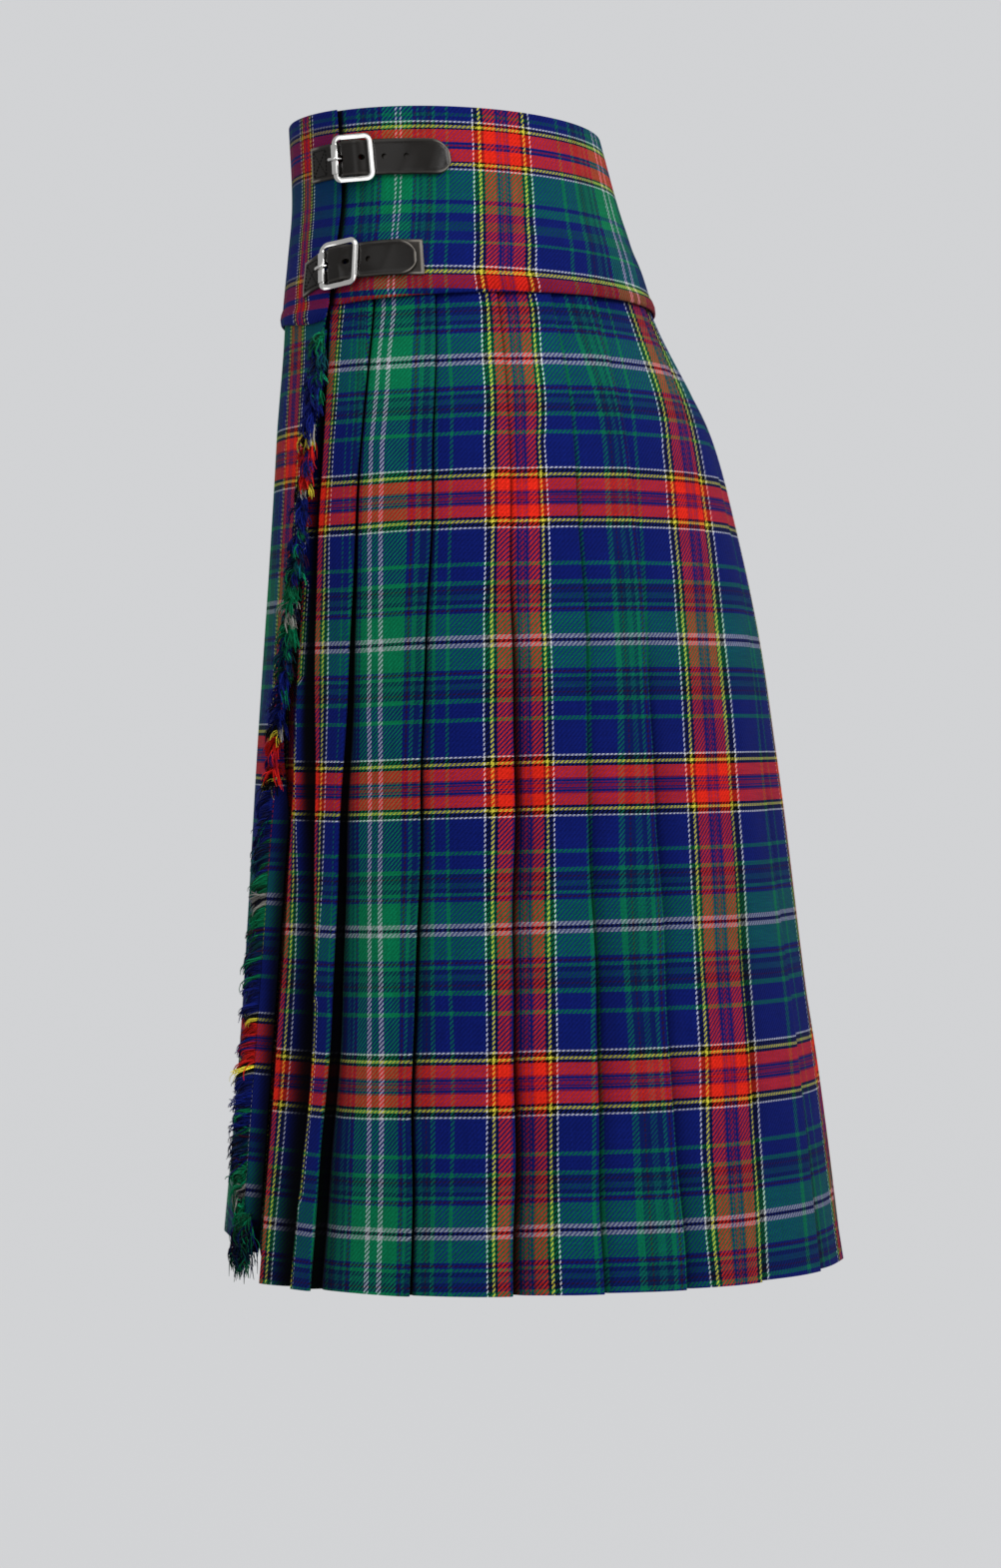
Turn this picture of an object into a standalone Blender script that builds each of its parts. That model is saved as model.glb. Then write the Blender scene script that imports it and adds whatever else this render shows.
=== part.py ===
"""Scottish kilt: a wrap-round pleated skirt on a shaped yoke, kept in its worn form.

Metres, +Z up. The origin is the middle of the waist opening, at the top edge of the yoke.
The front of the wearer faces -Y and the wearer's left is +X. Heights are given as a drop
below the waist, and places round the body as an angle in degrees: 0 is the middle of the
front, 90 the wearer's left side, 180 the middle of the back.
"""
import math
from collections import namedtuple

import bpy
import bmesh
import numpy as np

# ---------------------------------------------------------------- driving dimensions
CLOTH = 0.0012            # thickness of the skirt cloth
YOKE_CLOTH = 0.0016       # thickness of the yoke, a faced double layer
SEAM = 0.0003             # clearance between pieces that are sewn together
LAP = 0.011               # how far the skirt is tucked up inside the yoke
FOLD_PITCH = 0.0016       # from one layer of a pressed fold to the next
NOSE = 0.0012             # depth of the rounded edge of a fold
OVER_LIFT = YOKE_CLOTH + CLOTH + 2 * SEAM      # the overlap's outer face above the layer beneath
TUCK = YOKE_CLOTH + SEAM                       # a tucked edge below the yoke's outer face
ROLL = 0.0006             # how far the yoke's lower edge swells outward
PLEAT_HEM_DROP = 0.681    # waist to hem, at the middle of the back
HIP_LIFT = 0.006          # how far the hem rises over the hip
UNDERLAP_SHARE = 0.52     # hidden part of a pleat as a share of the panel that covers it

# The form that the kilt hangs on: half width and half depth of the oval, its centre, and how
# much flatter than the oval it is in front, under the overlap.
FormRow = namedtuple("FormRow", "drop half_width half_depth centre_y flat")
FORM = [
    FormRow(0.000, 0.1150, 0.0915, 0.0000, 0.0018),
    FormRow(0.050, 0.1212, 0.0983, 0.0075, 0.0038),
    FormRow(0.081, 0.1300, 0.1053, 0.0120, 0.0046),
    FormRow(0.115, 0.1385, 0.1122, 0.0165, 0.0045),
    FormRow(0.179, 0.1570, 0.1283, 0.0310, 0.0046),
    FormRow(0.246, 0.1685, 0.1391, 0.0385, 0.0052),
    FormRow(0.307, 0.1755, 0.1469, 0.0435, 0.0048),
    FormRow(0.375, 0.1812, 0.1537, 0.0465, 0.0046),
    FormRow(0.485, 0.1910, 0.1647, 0.0512, 0.0042),
    FormRow(0.564, 0.1985, 0.1734, 0.0548, 0.0032),
    FormRow(0.690, 0.2096, 0.1879, 0.0573, 0.0032),
]
FLAT_MIDDLE, FLAT_REACH = 18.0, 52.0           # degrees: middle and half extent of the flatter front

# One row for each pressed fold, round the body. facing: +1 when the folded edge looks to
# larger angles, -1 when it looks to smaller ones. The angles are those of the folded edge at
# the yoke and at the hem, and the recess is how deep the next panel starts below that edge.
Fold = namedtuple("Fold", "name facing yoke_angle hem_angle yoke_recess hem_recess")
FOLDS = [
    Fold("front_knife", -1, 64.5, 54.7, 0.0034, 0.0090),
    Fold("box_front", -1, 68.5, 65.3, 0.0034, 0.0100),
    Fold("box_back", +1, 84.3, 69.6, 0.0050, 0.0130),
    Fold("knife_02", +1, 104.0, 90.4, 0.0036, 0.0060),
    Fold("knife_03", +1, 122.5, 108.0, 0.0034, 0.0050),
    Fold("knife_04", +1, 139.5, 123.3, 0.0034, 0.0048),
    Fold("knife_05", +1, 154.5, 138.1, 0.0034, 0.0048),
    Fold("knife_06", +1, 186.0, 155.4, 0.0034, 0.0048),
    Fold("knife_07", +1, 198.0, 174.0, 0.0034, 0.0048),
    Fold("knife_08", +1, 209.5, 192.0, 0.0034, 0.0048),
    Fold("knife_09", +1, 221.0, 209.5, 0.0034, 0.0048),
    Fold("knife_10", +1, 232.5, 227.0, 0.0034, 0.0048),
    Fold("knife_11", +1, 244.5, 244.5, 0.0034, 0.0048),
    Fold("knife_12", +1, 257.0, 261.5, 0.0034, 0.0048),
    Fold("knife_13", +1, 270.0, 278.5, 0.0034, 0.0048),
    Fold("knife_14", +1, 284.0, 295.5, 0.0034, 0.0048),
    Fold("knife_15", +1, 299.0, 312.0, 0.0034, 0.0050),
]
FRONT_KNIFE, BOX_FRONT, BOX_BACK = FOLDS[:3]
LAST_FOLD = FOLDS[-1]
# The pleated cloth is joined from lengths, with each join hidden inside a fold.
Length = namedtuple("Length", "name first_fold last_fold")
PLEAT_LENGTHS = [
    Length("pleats_left", "front_knife", "knife_05"),
    Length("pleats_back", "knife_05", "knife_10"),
    Length("pleats_right", "knife_10", "knife_15"),
]
BOX_TUCK_SHARE = 0.42     # each hidden return of the box pleat, as a share of its width
FRONT_TUCK_SHARE = 0.5    # hidden return of the first knife pleat, as a share of its panel

# The free edge of the overlap: it hangs nearly straight below the yoke.
EdgeRow = namedtuple("EdgeRow", "drop angle")
APRON_EDGE = [
    EdgeRow(0.100, 69.5),
    EdgeRow(0.130, 67.2),
    EdgeRow(0.189, 62.6),
    EdgeRow(0.288, 57.3),
    EdgeRow(0.345, 53.2),
    EdgeRow(0.432, 49.6),
    EdgeRow(0.519, 48.6),
    EdgeRow(0.690, 48.3),
]
YOKE_SEAM_DROP = 0.115          # where the skirt meets the yoke
APRON_LAST_DROP = 0.660         # the overlap's hem, before it is trimmed to slope
OVER_YOKE_LOWEST = 0.129        # lowest point of the overlap's yoke
SKIRT_DROPS = [0.131, 0.150, 0.175, 0.205, 0.250, 0.305, 0.370, 0.440, 0.515, 0.595]
STATION = 6.0             # degrees between the columns of a plain panel
YOKE_DROPS = [0.000, 0.020, 0.042, 0.061, 0.080]
YOKE_ROLL_DROPS = [0.010, 0.005, 0.0]    # heights of the rolled edge above the yoke's bottom

UNDER_APRON_EDGE = -40.0        # free edge of the under apron, hidden below the overlap
YOKE_SIDE_SEAM = 299.0          # where the overlap's yoke meets the back yoke
UNDER_YOKE_SEAM = 61.8          # where the under yoke meets the back yoke, under the overlap
UNDER_YOKE_EDGE = -44.0         # free edge of the under yoke
LIFT_START, LIFT_END = 5.0, 50.0    # angles between which the overlap climbs over the layer below

# The closing edge of the overlap's yoke leans forward as it passes the lower buckle.
CLOSING_EDGE = [
    EdgeRow(0.000, 74.6),
    EdgeRow(0.050, 74.3),
    EdgeRow(0.078, 73.0),
    EdgeRow(0.102, 71.0),
    EdgeRow(0.128, 70.4),
]
CORNER_RADIUS = 0.010           # rounded lower corner of the overlap's yoke

# ------------------------------------------------------------------ fringe
FRINGE_TUFTS = 76               # tufts down the edge, in each of two rows
FRINGE_TOP, FRINGE_BOTTOM = 0.131, 0.664
FRINGE_STRIP = 0.0022           # width of the strip that holds the roots
FRINGE_ROOT_SHARE = 0.62        # a tuft's width where it leaves the strip
# How the tufts lie, down the edge. The side row springs from the strip's free side and the
# face row from its outer face. Positive reach points away from the overlap.
FringeRow = namedtuple("FringeRow", "drop side_reach face_reach fall outward length")
FRINGE_LAY = [
    FringeRow(0.13, 0.55, 0.30, 0.80, 0.25, 0.0100),
    FringeRow(0.27, 0.60, -0.10, 0.75, 0.30, 0.0105),
    FringeRow(0.32, 0.75, -0.75, 0.70, 0.35, 0.0115),
    FringeRow(0.41, 0.60, -0.80, 0.70, 0.40, 0.0115),
    FringeRow(0.50, 0.25, -0.75, 0.75, 0.45, 0.0125),
    FringeRow(0.58, 0.20, -0.60, 0.80, 0.40, 0.0125),
    FringeRow(0.63, 0.35, -0.40, 0.85, 0.35, 0.0135),
    FringeRow(0.66, 0.45, 0.05, 0.95, 0.25, 0.0185),
]

# ------------------------------------------------------------------ straps and buckles
STRAP_LEATHER = 0.0015
CHAPE_LEATHER = 0.0010
STRAP_HALF_WIDTH = 0.0106
HOLE_RADIUS = 0.0017
PIERCED_RADIUS = 0.0024         # the hole that the prong stands in
HOLE_PITCH = 0.0135
PRONG_HOLE = -0.0080            # the pierced hole, from the middle of the buckle
FRAME_HALF_LENGTH = 0.0115      # from the centre bar to the middle of an end bar
FRAME_HALF_HEIGHT = 0.0127      # from the strap's centre line to the middle of a rail
FRAME_CORNER = 0.0036
BAR_HALF_WIDTH = 0.0015
BAR_HALF_HEIGHT = 0.0010
CENTRE_BAR_RADIUS = 0.0012
CENTRE_BAR_HEIGHT = 0.0030      # its axis above the back yoke
ROLLER_HALF_LENGTH = 0.0088
ROLLER_WALL = 0.0004
PRONG_RADIUS = 0.0009
PRONG_RING_RADIUS = 0.00055     # half the thickness of the prong's ring round the centre bar
PRONG_PAST_BAR = 0.0040
FIT = 0.0003                    # running clearance of metal parts

OVER_YOKE_TOP = OVER_LIFT                                   # height of the overlap's yoke
TAB_MID = OVER_YOKE_TOP + SEAM + STRAP_LEATHER / 2          # strap's mid line on the tab
CHAPE_MID = CENTRE_BAR_HEIGHT - CENTRE_BAR_RADIUS - FIT - CHAPE_LEATHER / 2
TAIL_MID = CHAPE_MID + (CHAPE_LEATHER + STRAP_LEATHER) / 2 + SEAM
HUMP_MID = (CENTRE_BAR_HEIGHT + CENTRE_BAR_RADIUS + FIT + CHAPE_LEATHER + SEAM
            + STRAP_LEATHER / 2)
ROLLER_HALF_HEIGHT = BAR_HALF_HEIGHT + FIT + ROLLER_WALL
LEFT_BAR_HEIGHT = TAB_MID + STRAP_LEATHER / 2 + SEAM + ROLLER_HALF_HEIGHT
RIGHT_BAR_HEIGHT = TAIL_MID + STRAP_LEATHER / 2 + SEAM + BAR_HALF_HEIGHT
RAIL_MID_HEIGHT = CENTRE_BAR_HEIGHT + CENTRE_BAR_RADIUS + BAR_HALF_HEIGHT - 0.0003

# Each strap: the angle of its buckle, how far it reaches both ways from the buckle, and its
# centre line's drop at places along it.
RouteRow = namedtuple("RouteRow", "along drop")
Strap = namedtuple("Strap", "name buckle_angle tab_reach tip_reach chape_reach holes route")
STRAPS = [
    Strap("upper", 81.0, 0.0355, 0.0585, 0.0480, 4,
          [RouteRow(-0.040, 0.0315), RouteRow(0.0, 0.0302), RouteRow(0.060, 0.0307)]),
    Strap("lower", 75.2, 0.0320, 0.0490, 0.0525, 3,
          [RouteRow(-0.032, 0.1000), RouteRow(-0.011, 0.0945), RouteRow(0.0, 0.0929),
           RouteRow(0.011, 0.0917), RouteRow(0.030, 0.0908), RouteRow(0.055, 0.0910)]),
]


# ---------------------------------------------------------------- helpers
def curve_value(x, xs, ys):
    """A smooth curve through the points (xs, ys), with slopes from the neighbouring points."""
    xs, ys = np.asarray(xs, float), np.asarray(ys, float)
    steps = np.diff(xs)
    secants = np.diff(ys) / steps
    slopes = np.concatenate([[secants[0]], (secants[:-1] + secants[1:]) / 2, [secants[-1]]])
    x = min(max(x, xs[0]), xs[-1])
    i = int(np.clip(np.searchsorted(xs, x) - 1, 0, len(xs) - 2))
    t = (x - xs[i]) / steps[i]
    return (ys[i] * (1 + 2 * t) * (1 - t) ** 2 + slopes[i] * steps[i] * t * (1 - t) ** 2
            + ys[i + 1] * t * t * (3 - 2 * t) + slopes[i + 1] * steps[i] * t * t * (t - 1))


def table_value(rows, key, column, x):
    """One column of a table of rows, read at x of its key column."""
    return curve_value(x, [getattr(r, key) for r in rows], [getattr(r, column) for r in rows])


def smooth_step(x, start, end):
    t = min(max((x - start) / (end - start), 0.0), 1.0)
    return t * t * (3 - 2 * t)


def mix(a, b, t):
    return a + (b - a) * t


def form_at(drop):
    drop = max(drop, 0.0)
    return [table_value(FORM, "drop", c, drop) for c in ("half_width", "half_depth", "centre_y")]


def front_flat(angle, drop):
    """How far the front lies inside the oval."""
    share = min(abs((angle - FLAT_MIDDLE + 180) % 360 - 180) / FLAT_REACH, 1.0)
    return table_value(FORM, "drop", "flat", max(drop, 0.0)) * math.cos(share * math.pi / 2) ** 2


def form_point(angle, drop, outward=0.0):
    """A point of the form at an angle in degrees, moved outward by some distance."""
    half_width, half_depth, centre_y = form_at(drop)
    outward = outward - front_flat(angle, drop)
    a = math.radians(angle)
    return ((half_width + outward) * math.sin(a),
            centre_y - (half_depth + outward) * math.cos(a), -drop)


def form_radius(drop):
    half_width, half_depth, _ = form_at(drop)
    return math.sqrt((half_width ** 2 + half_depth ** 2) / 2)


def degrees_of(length, drop):
    """The angle that a length of cloth takes round the form."""
    return math.degrees(length / form_radius(drop))


def sway(drop):
    """0 at the yoke's seam and 1 at the hem, moving as the form's centre moves back."""
    top = table_value(FORM, "drop", "centre_y", YOKE_SEAM_DROP)
    bottom = FORM[-1].centre_y
    return (table_value(FORM, "drop", "centre_y", max(drop, YOKE_SEAM_DROP)) - top) / (bottom - top)


def tuck_depth(drop, yoke_end=YOKE_SEAM_DROP + 0.003, sunk=0.0003):
    """The skirt lies inside the yoke at its top and comes out to the form below it."""
    return (TUCK * (1 - smooth_step(drop, yoke_end, 0.190))
            + sunk * (1 - smooth_step(drop, 0.112, 0.131)))


def over_lift(angle):
    """How far the overlap's outer face stands off the form."""
    angle = angle - 360 if angle > 180 else angle
    return OVER_LIFT * smooth_step(angle, LIFT_START, LIFT_END)


def yoke_bottom(angle):
    """Drop of the yoke's lower edge, which dips a little towards the front."""
    return 0.108 + 0.0130 * (1 + math.cos(math.radians(angle))) / 2


def over_yoke_bottom(angle):
    """The overlap's yoke reaches a little lower towards its closing edge."""
    angle = angle - 360 if angle > 180 else angle
    return yoke_bottom(angle) + 0.0095 * smooth_step(angle, -10.0, 70.0)


def apron_edge(drop):
    """Angle of the overlap's free edge, straight between the rows of its wall."""
    rows = [YOKE_SEAM_DROP - LAP] + SKIRT_DROPS + [APRON_LAST_DROP]
    return float(np.interp(drop, rows, [table_value(APRON_EDGE, "drop", "angle", r) for r in rows]))


def stations(start, end, low=None, high=None, before=1, after=1):
    """Angles of a panel's columns: round ones from low to high, and even steps to both ends."""
    if low is None:
        low = math.ceil(start / STATION + 0.15) * STATION
        high = math.floor(end / STATION - 0.15) * STATION
    return ([mix(start, low, k / before) for k in range(before)]
            + [low + k * STATION for k in range(round((high - low) / STATION))]
            + [mix(high, end, k / after) for k in range(after + 1)])


def pleat_hem(angle):
    return PLEAT_HEM_DROP - HIP_LIFT * math.sin(math.radians(angle - 30)) ** 2


def apron_hem(angle):
    """The overlap's hem rises from the pleats' hem to its free edge."""
    angle = angle - 360 if angle > 180 else angle
    return mix(0.6795, 0.6576, (angle + 48.0) / 96.0)


def under_hem(angle):
    """The layer beneath is a little shorter than the overlap, and joins the pleats' hem."""
    return mix(apron_hem(angle) - 0.004, pleat_hem(angle), smooth_step(angle, 46.0, 56.0))


def new_material(name, colour, roughness, metallic=0.0):
    material = bpy.data.materials.new(name)
    material.use_nodes = True
    shader = material.node_tree.nodes["Principled BSDF"]
    shader.inputs["Base Color"].default_value = (*colour, 1.0)
    shader.inputs["Roughness"].default_value = roughness
    shader.inputs["Metallic"].default_value = metallic
    return material


def add_object(name, vertices, faces, material, smooth_angle=35.0):
    mesh = bpy.data.meshes.new(name)
    mesh.from_pydata([tuple(v) for v in vertices], [], faces)
    bm = bmesh.new()
    bm.from_mesh(mesh)
    bmesh.ops.recalc_face_normals(bm, faces=bm.faces)
    bm.to_mesh(mesh)
    bm.free()
    mesh.materials.append(material)
    mesh.shade_smooth()
    mesh.set_sharp_from_angle(angle=math.radians(smooth_angle))
    obj = bpy.data.objects.new(name, mesh)
    bpy.context.collection.objects.link(obj)
    return obj


def wall_between(name, outer, inner, material):
    """A closed wall from two matching grids of points, rows from top to bottom."""
    rows, columns = len(outer), len(outer[0])
    vertices = [p for row in outer for p in row] + [p for row in inner for p in row]
    back = rows * columns

    def at(i, j):
        return i * columns + j

    faces = []
    for i in range(rows - 1):
        for j in range(columns - 1):
            quad = (at(i, j), at(i, j + 1), at(i + 1, j + 1), at(i + 1, j))
            faces.append(quad)
            faces.append(tuple(back + k for k in reversed(quad)))
    rim = ([at(0, j) for j in range(columns)]
           + [at(i, columns - 1) for i in range(1, rows)]
           + [at(rows - 1, j) for j in range(columns - 2, -1, -1)]
           + [at(i, 0) for i in range(rows - 2, 0, -1)])
    for a, b in zip(rim, rim[1:] + rim[:1]):
        faces.append((b, a, back + a, back + b))
    return add_object(name, vertices, faces, material)


# ---------------------------------------------------------------- skirt
def offset_path(path, distance):
    """A path in (length, depth) moved sideways, with mitred corners."""
    points = np.array(path)
    steps = np.diff(points, axis=0)
    steps /= np.linalg.norm(steps, axis=1)[:, None]
    normals = np.stack([steps[:, 1], -steps[:, 0]], axis=1)
    moved = []
    for i, point in enumerate(points):
        before = normals[max(i - 1, 0)]
        after = normals[min(i, len(normals) - 1)]
        middle = before + after
        middle /= np.linalg.norm(middle)
        moved.append(point + middle * distance / max(middle @ before, 0.6))
    return moved


def folded_wall(name, path_at, drops, hem_at, top_at, material):
    """A cloth wall whose cross-section at each drop is a folded path of (angle, depth)."""
    outer, inner = [], []
    last_row = len(drops) - 1
    for row, drop in enumerate(drops):
        radius = form_radius(drop)
        path = [(math.radians(angle) * radius, depth + CLOTH / 2) for angle, depth in path_at(drop)]
        for grid, side in ((outer, CLOTH / 2), (inner, -CLOTH / 2)):
            line = []
            for length, depth in offset_path(path, side):
                angle = math.degrees(length / radius)
                place = drop
                if row == last_row:
                    place = hem_at(angle)
                if row == 0:
                    place = top_at(angle)
                line.append(form_point(angle, place, -depth))
            grid.append(line)
    return wall_between(name, outer, inner, material)


def fold_angle(fold, drop):
    return mix(fold.yoke_angle, fold.hem_angle, sway(drop))


def fold_recess(fold, drop):
    return mix(fold.yoke_recess, fold.hem_recess, smooth_step(drop, YOKE_SEAM_DROP, 0.50))


def fold_underlap(fold, drop):
    """Degrees that the hidden return of a fold reaches back under its own panel."""
    box_width = fold_angle(BOX_BACK, drop) - fold_angle(BOX_FRONT, drop)
    if fold in (BOX_FRONT, BOX_BACK):
        return BOX_TUCK_SHARE * box_width
    if fold is FRONT_KNIFE:
        return FRONT_TUCK_SHARE * (fold_angle(BOX_FRONT, drop) - fold_angle(fold, drop))
    before = FOLDS[FOLDS.index(fold) - 1]
    return UNDERLAP_SHARE * (fold_angle(fold, drop) - fold_angle(before, drop))


def return_depth(fold, covered_depth, drop):
    """Depth of a fold's hidden return at its inner end, below the panel that covers it."""
    slack = fold_recess(fold, drop) - 2 * FOLD_PITCH
    return covered_depth + FOLD_PITCH + 0.5 * slack


def knife_panel(before, fold, drop):
    """The visible panel between two folds that face back, then the fold's hidden return."""
    start, edge = fold_angle(before, drop), fold_angle(fold, drop)
    recess = fold_recess(before, drop)
    under = edge - fold_underlap(fold, drop)
    nose = degrees_of(NOSE, drop)

    def depth_at(angle):
        return recess * ((edge - angle) / (edge - start)) ** 1.4

    middle = (start + under) / 2
    hidden = return_depth(fold, depth_at(under), drop)
    return [(start, recess), (middle, depth_at(middle)), (under, depth_at(under)),
            (edge - nose, 0.0), (edge, FOLD_PITCH / 2), (edge - nose, FOLD_PITCH),
            (under, hidden), (under, hidden + FOLD_PITCH)]


def box_pleat_path(drop):
    """The first knife pleat, which faces forward, and the box pleat beside it."""
    nose = degrees_of(NOSE, drop)
    first, front, back = (fold_angle(f, drop) for f in FOLDS[:3])
    first_in = first + fold_underlap(FRONT_KNIFE, drop)
    front_in = front + fold_underlap(BOX_FRONT, drop)
    back_in = back - fold_underlap(BOX_BACK, drop)
    recess = fold_recess(BOX_FRONT, drop)

    def first_panel(angle):
        return recess * ((angle - first) / (front - first)) ** 1.4

    first_hidden = return_depth(FRONT_KNIFE, first_panel(first_in), drop)
    front_hidden = return_depth(BOX_FRONT, 0.0, drop)
    back_hidden = return_depth(BOX_BACK, 0.0, drop)
    middle = (first_in + front) / 2
    return [(first_in, first_hidden), (first + nose, FOLD_PITCH), (first, FOLD_PITCH / 2),
            (first + nose, 0.0), (first_in, first_panel(first_in)), (middle, first_panel(middle)),
            (front, recess), (front_in, front_hidden + FOLD_PITCH), (front_in, front_hidden),
            (front + nose, FOLD_PITCH), (front, FOLD_PITCH / 2), (front + nose, 0.0),
            (front_in, 0.0), (back_in, 0.0), (back - nose, 0.0), (back, FOLD_PITCH / 2),
            (back - nose, FOLD_PITCH), (back_in, back_hidden), (back_in, back_hidden + FOLD_PITCH)]


def pleat_path(length, drop):
    """One length's mid line, from under its first fold to its cut edge under its last."""
    names = [fold.name for fold in FOLDS]
    first, last = names.index(length.first_fold), names.index(length.last_fold)
    if first == 0:
        path = box_pleat_path(drop)
        first = FOLDS.index(BOX_BACK)
    else:
        path = [knife_panel(FOLDS[first - 1], FOLDS[first], drop)[-1]]
    for before, fold in zip(FOLDS[first:last], FOLDS[first + 1:last + 1]):
        path += knife_panel(before, fold, drop)
    path.pop()
    tuck = tuck_depth(drop)
    return [(angle, depth + tuck) for angle, depth in path]


def under_apron_path(drop):
    """The layer beneath the overlap, from its free edge to inside the first pleat."""
    first = fold_angle(FRONT_KNIFE, drop)
    reach = fold_underlap(FRONT_KNIFE, drop)
    panel = fold_angle(BOX_FRONT, drop) - first
    covered = fold_recess(BOX_FRONT, drop) * (reach / panel) ** 1.4
    recess = fold_recess(FRONT_KNIFE, drop)
    end_depth = return_depth(FRONT_KNIFE, covered, drop) + FOLD_PITCH
    resting = mix(OVER_LIFT, 0.0060, smooth_step(drop, 0.13, 0.25))
    path = []
    for angle in stations(UNDER_APRON_EDGE, first - 2.0, -36.0, 42.0, 1, 4):
        path.append((angle, mix(resting, recess, smooth_step(angle, 20.0, first - 2.0))))
    path += [(first, recess), (first + reach, end_depth)]
    tuck = tuck_depth(drop)
    return [(angle, depth + tuck) for angle, depth in path]


def over_apron_path(drop):
    """The overlap, from inside the last pleat across the front to its free edge."""
    last = fold_angle(LAST_FOLD, drop)
    reach = fold_underlap(LAST_FOLD, drop)
    before = fold_angle(FOLDS[-2], drop)
    covered = fold_recess(FOLDS[-2], drop) * (reach / (last - before)) ** 1.4
    recess = fold_recess(LAST_FOLD, drop)
    path = [(last - reach - 360, return_depth(LAST_FOLD, covered, drop) + FOLD_PITCH),
            (last - 360, recess)]
    for angle in stations(last - 360, apron_edge(drop), -42.0, 42.0, 3, 4)[1:]:
        path.append((angle, recess * (1 - smooth_step(angle, last - 360, last - 347.5))
                     - over_lift(angle)))
    tuck = tuck_depth(drop, OVER_YOKE_LOWEST, 0.0)
    return [(angle, depth + tuck) for angle, depth in path]


def build_skirt(cloth):
    tucked = YOKE_SEAM_DROP - LAP

    def pleat_top(angle):
        return yoke_bottom(angle) - LAP

    def over_top(angle):
        return over_yoke_bottom(angle) - LAP

    drops = [tucked, YOKE_SEAM_DROP + 0.002] + SKIRT_DROPS + [PLEAT_HEM_DROP]
    for length in PLEAT_LENGTHS:
        folded_wall(length.name, lambda drop: pleat_path(length, drop), drops, pleat_hem,
                    pleat_top, cloth)
    folded_wall("under_apron", under_apron_path, drops, under_hem, pleat_top, cloth)
    drops = [tucked] + SKIRT_DROPS + [APRON_LAST_DROP]
    folded_wall("over_apron", over_apron_path, drops, apron_hem, over_top, cloth)


# ---------------------------------------------------------------- yoke
def yoke_panel(name, start, end, outward_at, swell_at, bottom_at, material, end_at=None):
    """One stretch of the yoke. end_at(drop) gives a closing edge that is not upright."""
    outer, inner = [], []
    rows = len(YOKE_DROPS) + len(YOKE_ROLL_DROPS)
    for row in range(rows):
        outer_line, inner_line = [], []
        for angle in stations(start, end):
            bottom = bottom_at(angle)
            if row < len(YOKE_DROPS):
                drop = YOKE_DROPS[row]
                swell = 0.0
            else:
                above = YOKE_ROLL_DROPS[row - len(YOKE_DROPS)]
                drop = bottom - above
                swell = swell_at(angle) * math.sin(math.pi * above / YOKE_ROLL_DROPS[0])
            if end_at and angle > end - 2 * STATION:
                share = (angle - (end - 2 * STATION)) / (2 * STATION)
                angle = mix(end - 2 * STATION, end_at(drop), share)
            outward = outward_at(angle)
            outer_line.append(form_point(angle, drop, outward + swell))
            inner_line.append(form_point(angle, drop, outward - YOKE_CLOTH))
        outer.append(outer_line)
        inner.append(inner_line)
    return wall_between(name, outer, inner, material)


def closing_edge(drop):
    """Angle of the overlap's closing edge, with its rounded lower corner."""
    angle = table_value(CLOSING_EDGE, "drop", "angle", drop)
    bottom = over_yoke_bottom(CLOSING_EDGE[-1].angle)
    above = bottom - drop
    if above < CORNER_RADIUS:
        inset = CORNER_RADIUS - math.sqrt(max(CORNER_RADIUS ** 2 - (CORNER_RADIUS - above) ** 2, 0))
        angle -= degrees_of(0.8 * inset, drop)
    return angle


def build_yoke(cloth):
    gap = degrees_of(SEAM, 0.05)
    yoke_panel("yoke_back", UNDER_YOKE_SEAM + gap, YOKE_SIDE_SEAM - gap, lambda angle: 0.0,
               lambda angle: ROLL * smooth_step(angle, 72.0, 84.0), yoke_bottom, cloth)
    yoke_panel("yoke_under", UNDER_YOKE_EDGE, UNDER_YOKE_SEAM,
               lambda angle: over_lift(angle) - OVER_LIFT, lambda angle: 0.0, yoke_bottom, cloth)
    yoke_panel("yoke_over", YOKE_SIDE_SEAM - 360, CLOSING_EDGE[0].angle, over_lift,
               lambda angle: ROLL, over_yoke_bottom, cloth, closing_edge)


# ---------------------------------------------------------------- fringe
def build_fringe(material):
    """A narrow strip along the overlap's free edge, with two rows of tufts drawn out of it."""
    bm = bmesh.new()
    rings = []
    for i in range(FRINGE_TUFTS + 1):
        drop = mix(FRINGE_TOP, FRINGE_BOTTOM, i / FRINGE_TUFTS)
        edge = apron_edge(drop) + degrees_of(SEAM, drop)
        lift = over_lift(edge) - tuck_depth(drop, OVER_YOKE_LOWEST, 0.0)
        far = edge + degrees_of(FRINGE_STRIP, drop)
        corners = [(edge, lift), (far, lift), (far, lift - CLOTH), (edge, lift - CLOTH)]
        rings.append([bm.verts.new(form_point(a, drop, o)) for a, o in corners])
    face_row, side_row = [], []
    for upper, lower in zip(rings, rings[1:]):
        for k in range(4):
            quad = (upper[k], upper[(k + 1) % 4], lower[(k + 1) % 4], lower[k])
            face = bm.faces.new(quad)
            if k == 0:
                face_row.append(face)
            if k == 1:
                side_row.append(face)
    bm.faces.new(list(reversed(rings[0])))
    bm.faces.new(rings[-1])
    for row, faces in (("face", face_row), ("side", side_row)):
        for index, face in enumerate(faces):
            draw_out_tuft(bm, face, row, index)
    bmesh.ops.recalc_face_normals(bm, faces=bm.faces)
    mesh = bpy.data.meshes.new("fringe")
    bm.to_mesh(mesh)
    bm.free()
    mesh.materials.append(material)
    obj = bpy.data.objects.new("fringe", mesh)
    bpy.context.collection.objects.link(obj)


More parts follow.
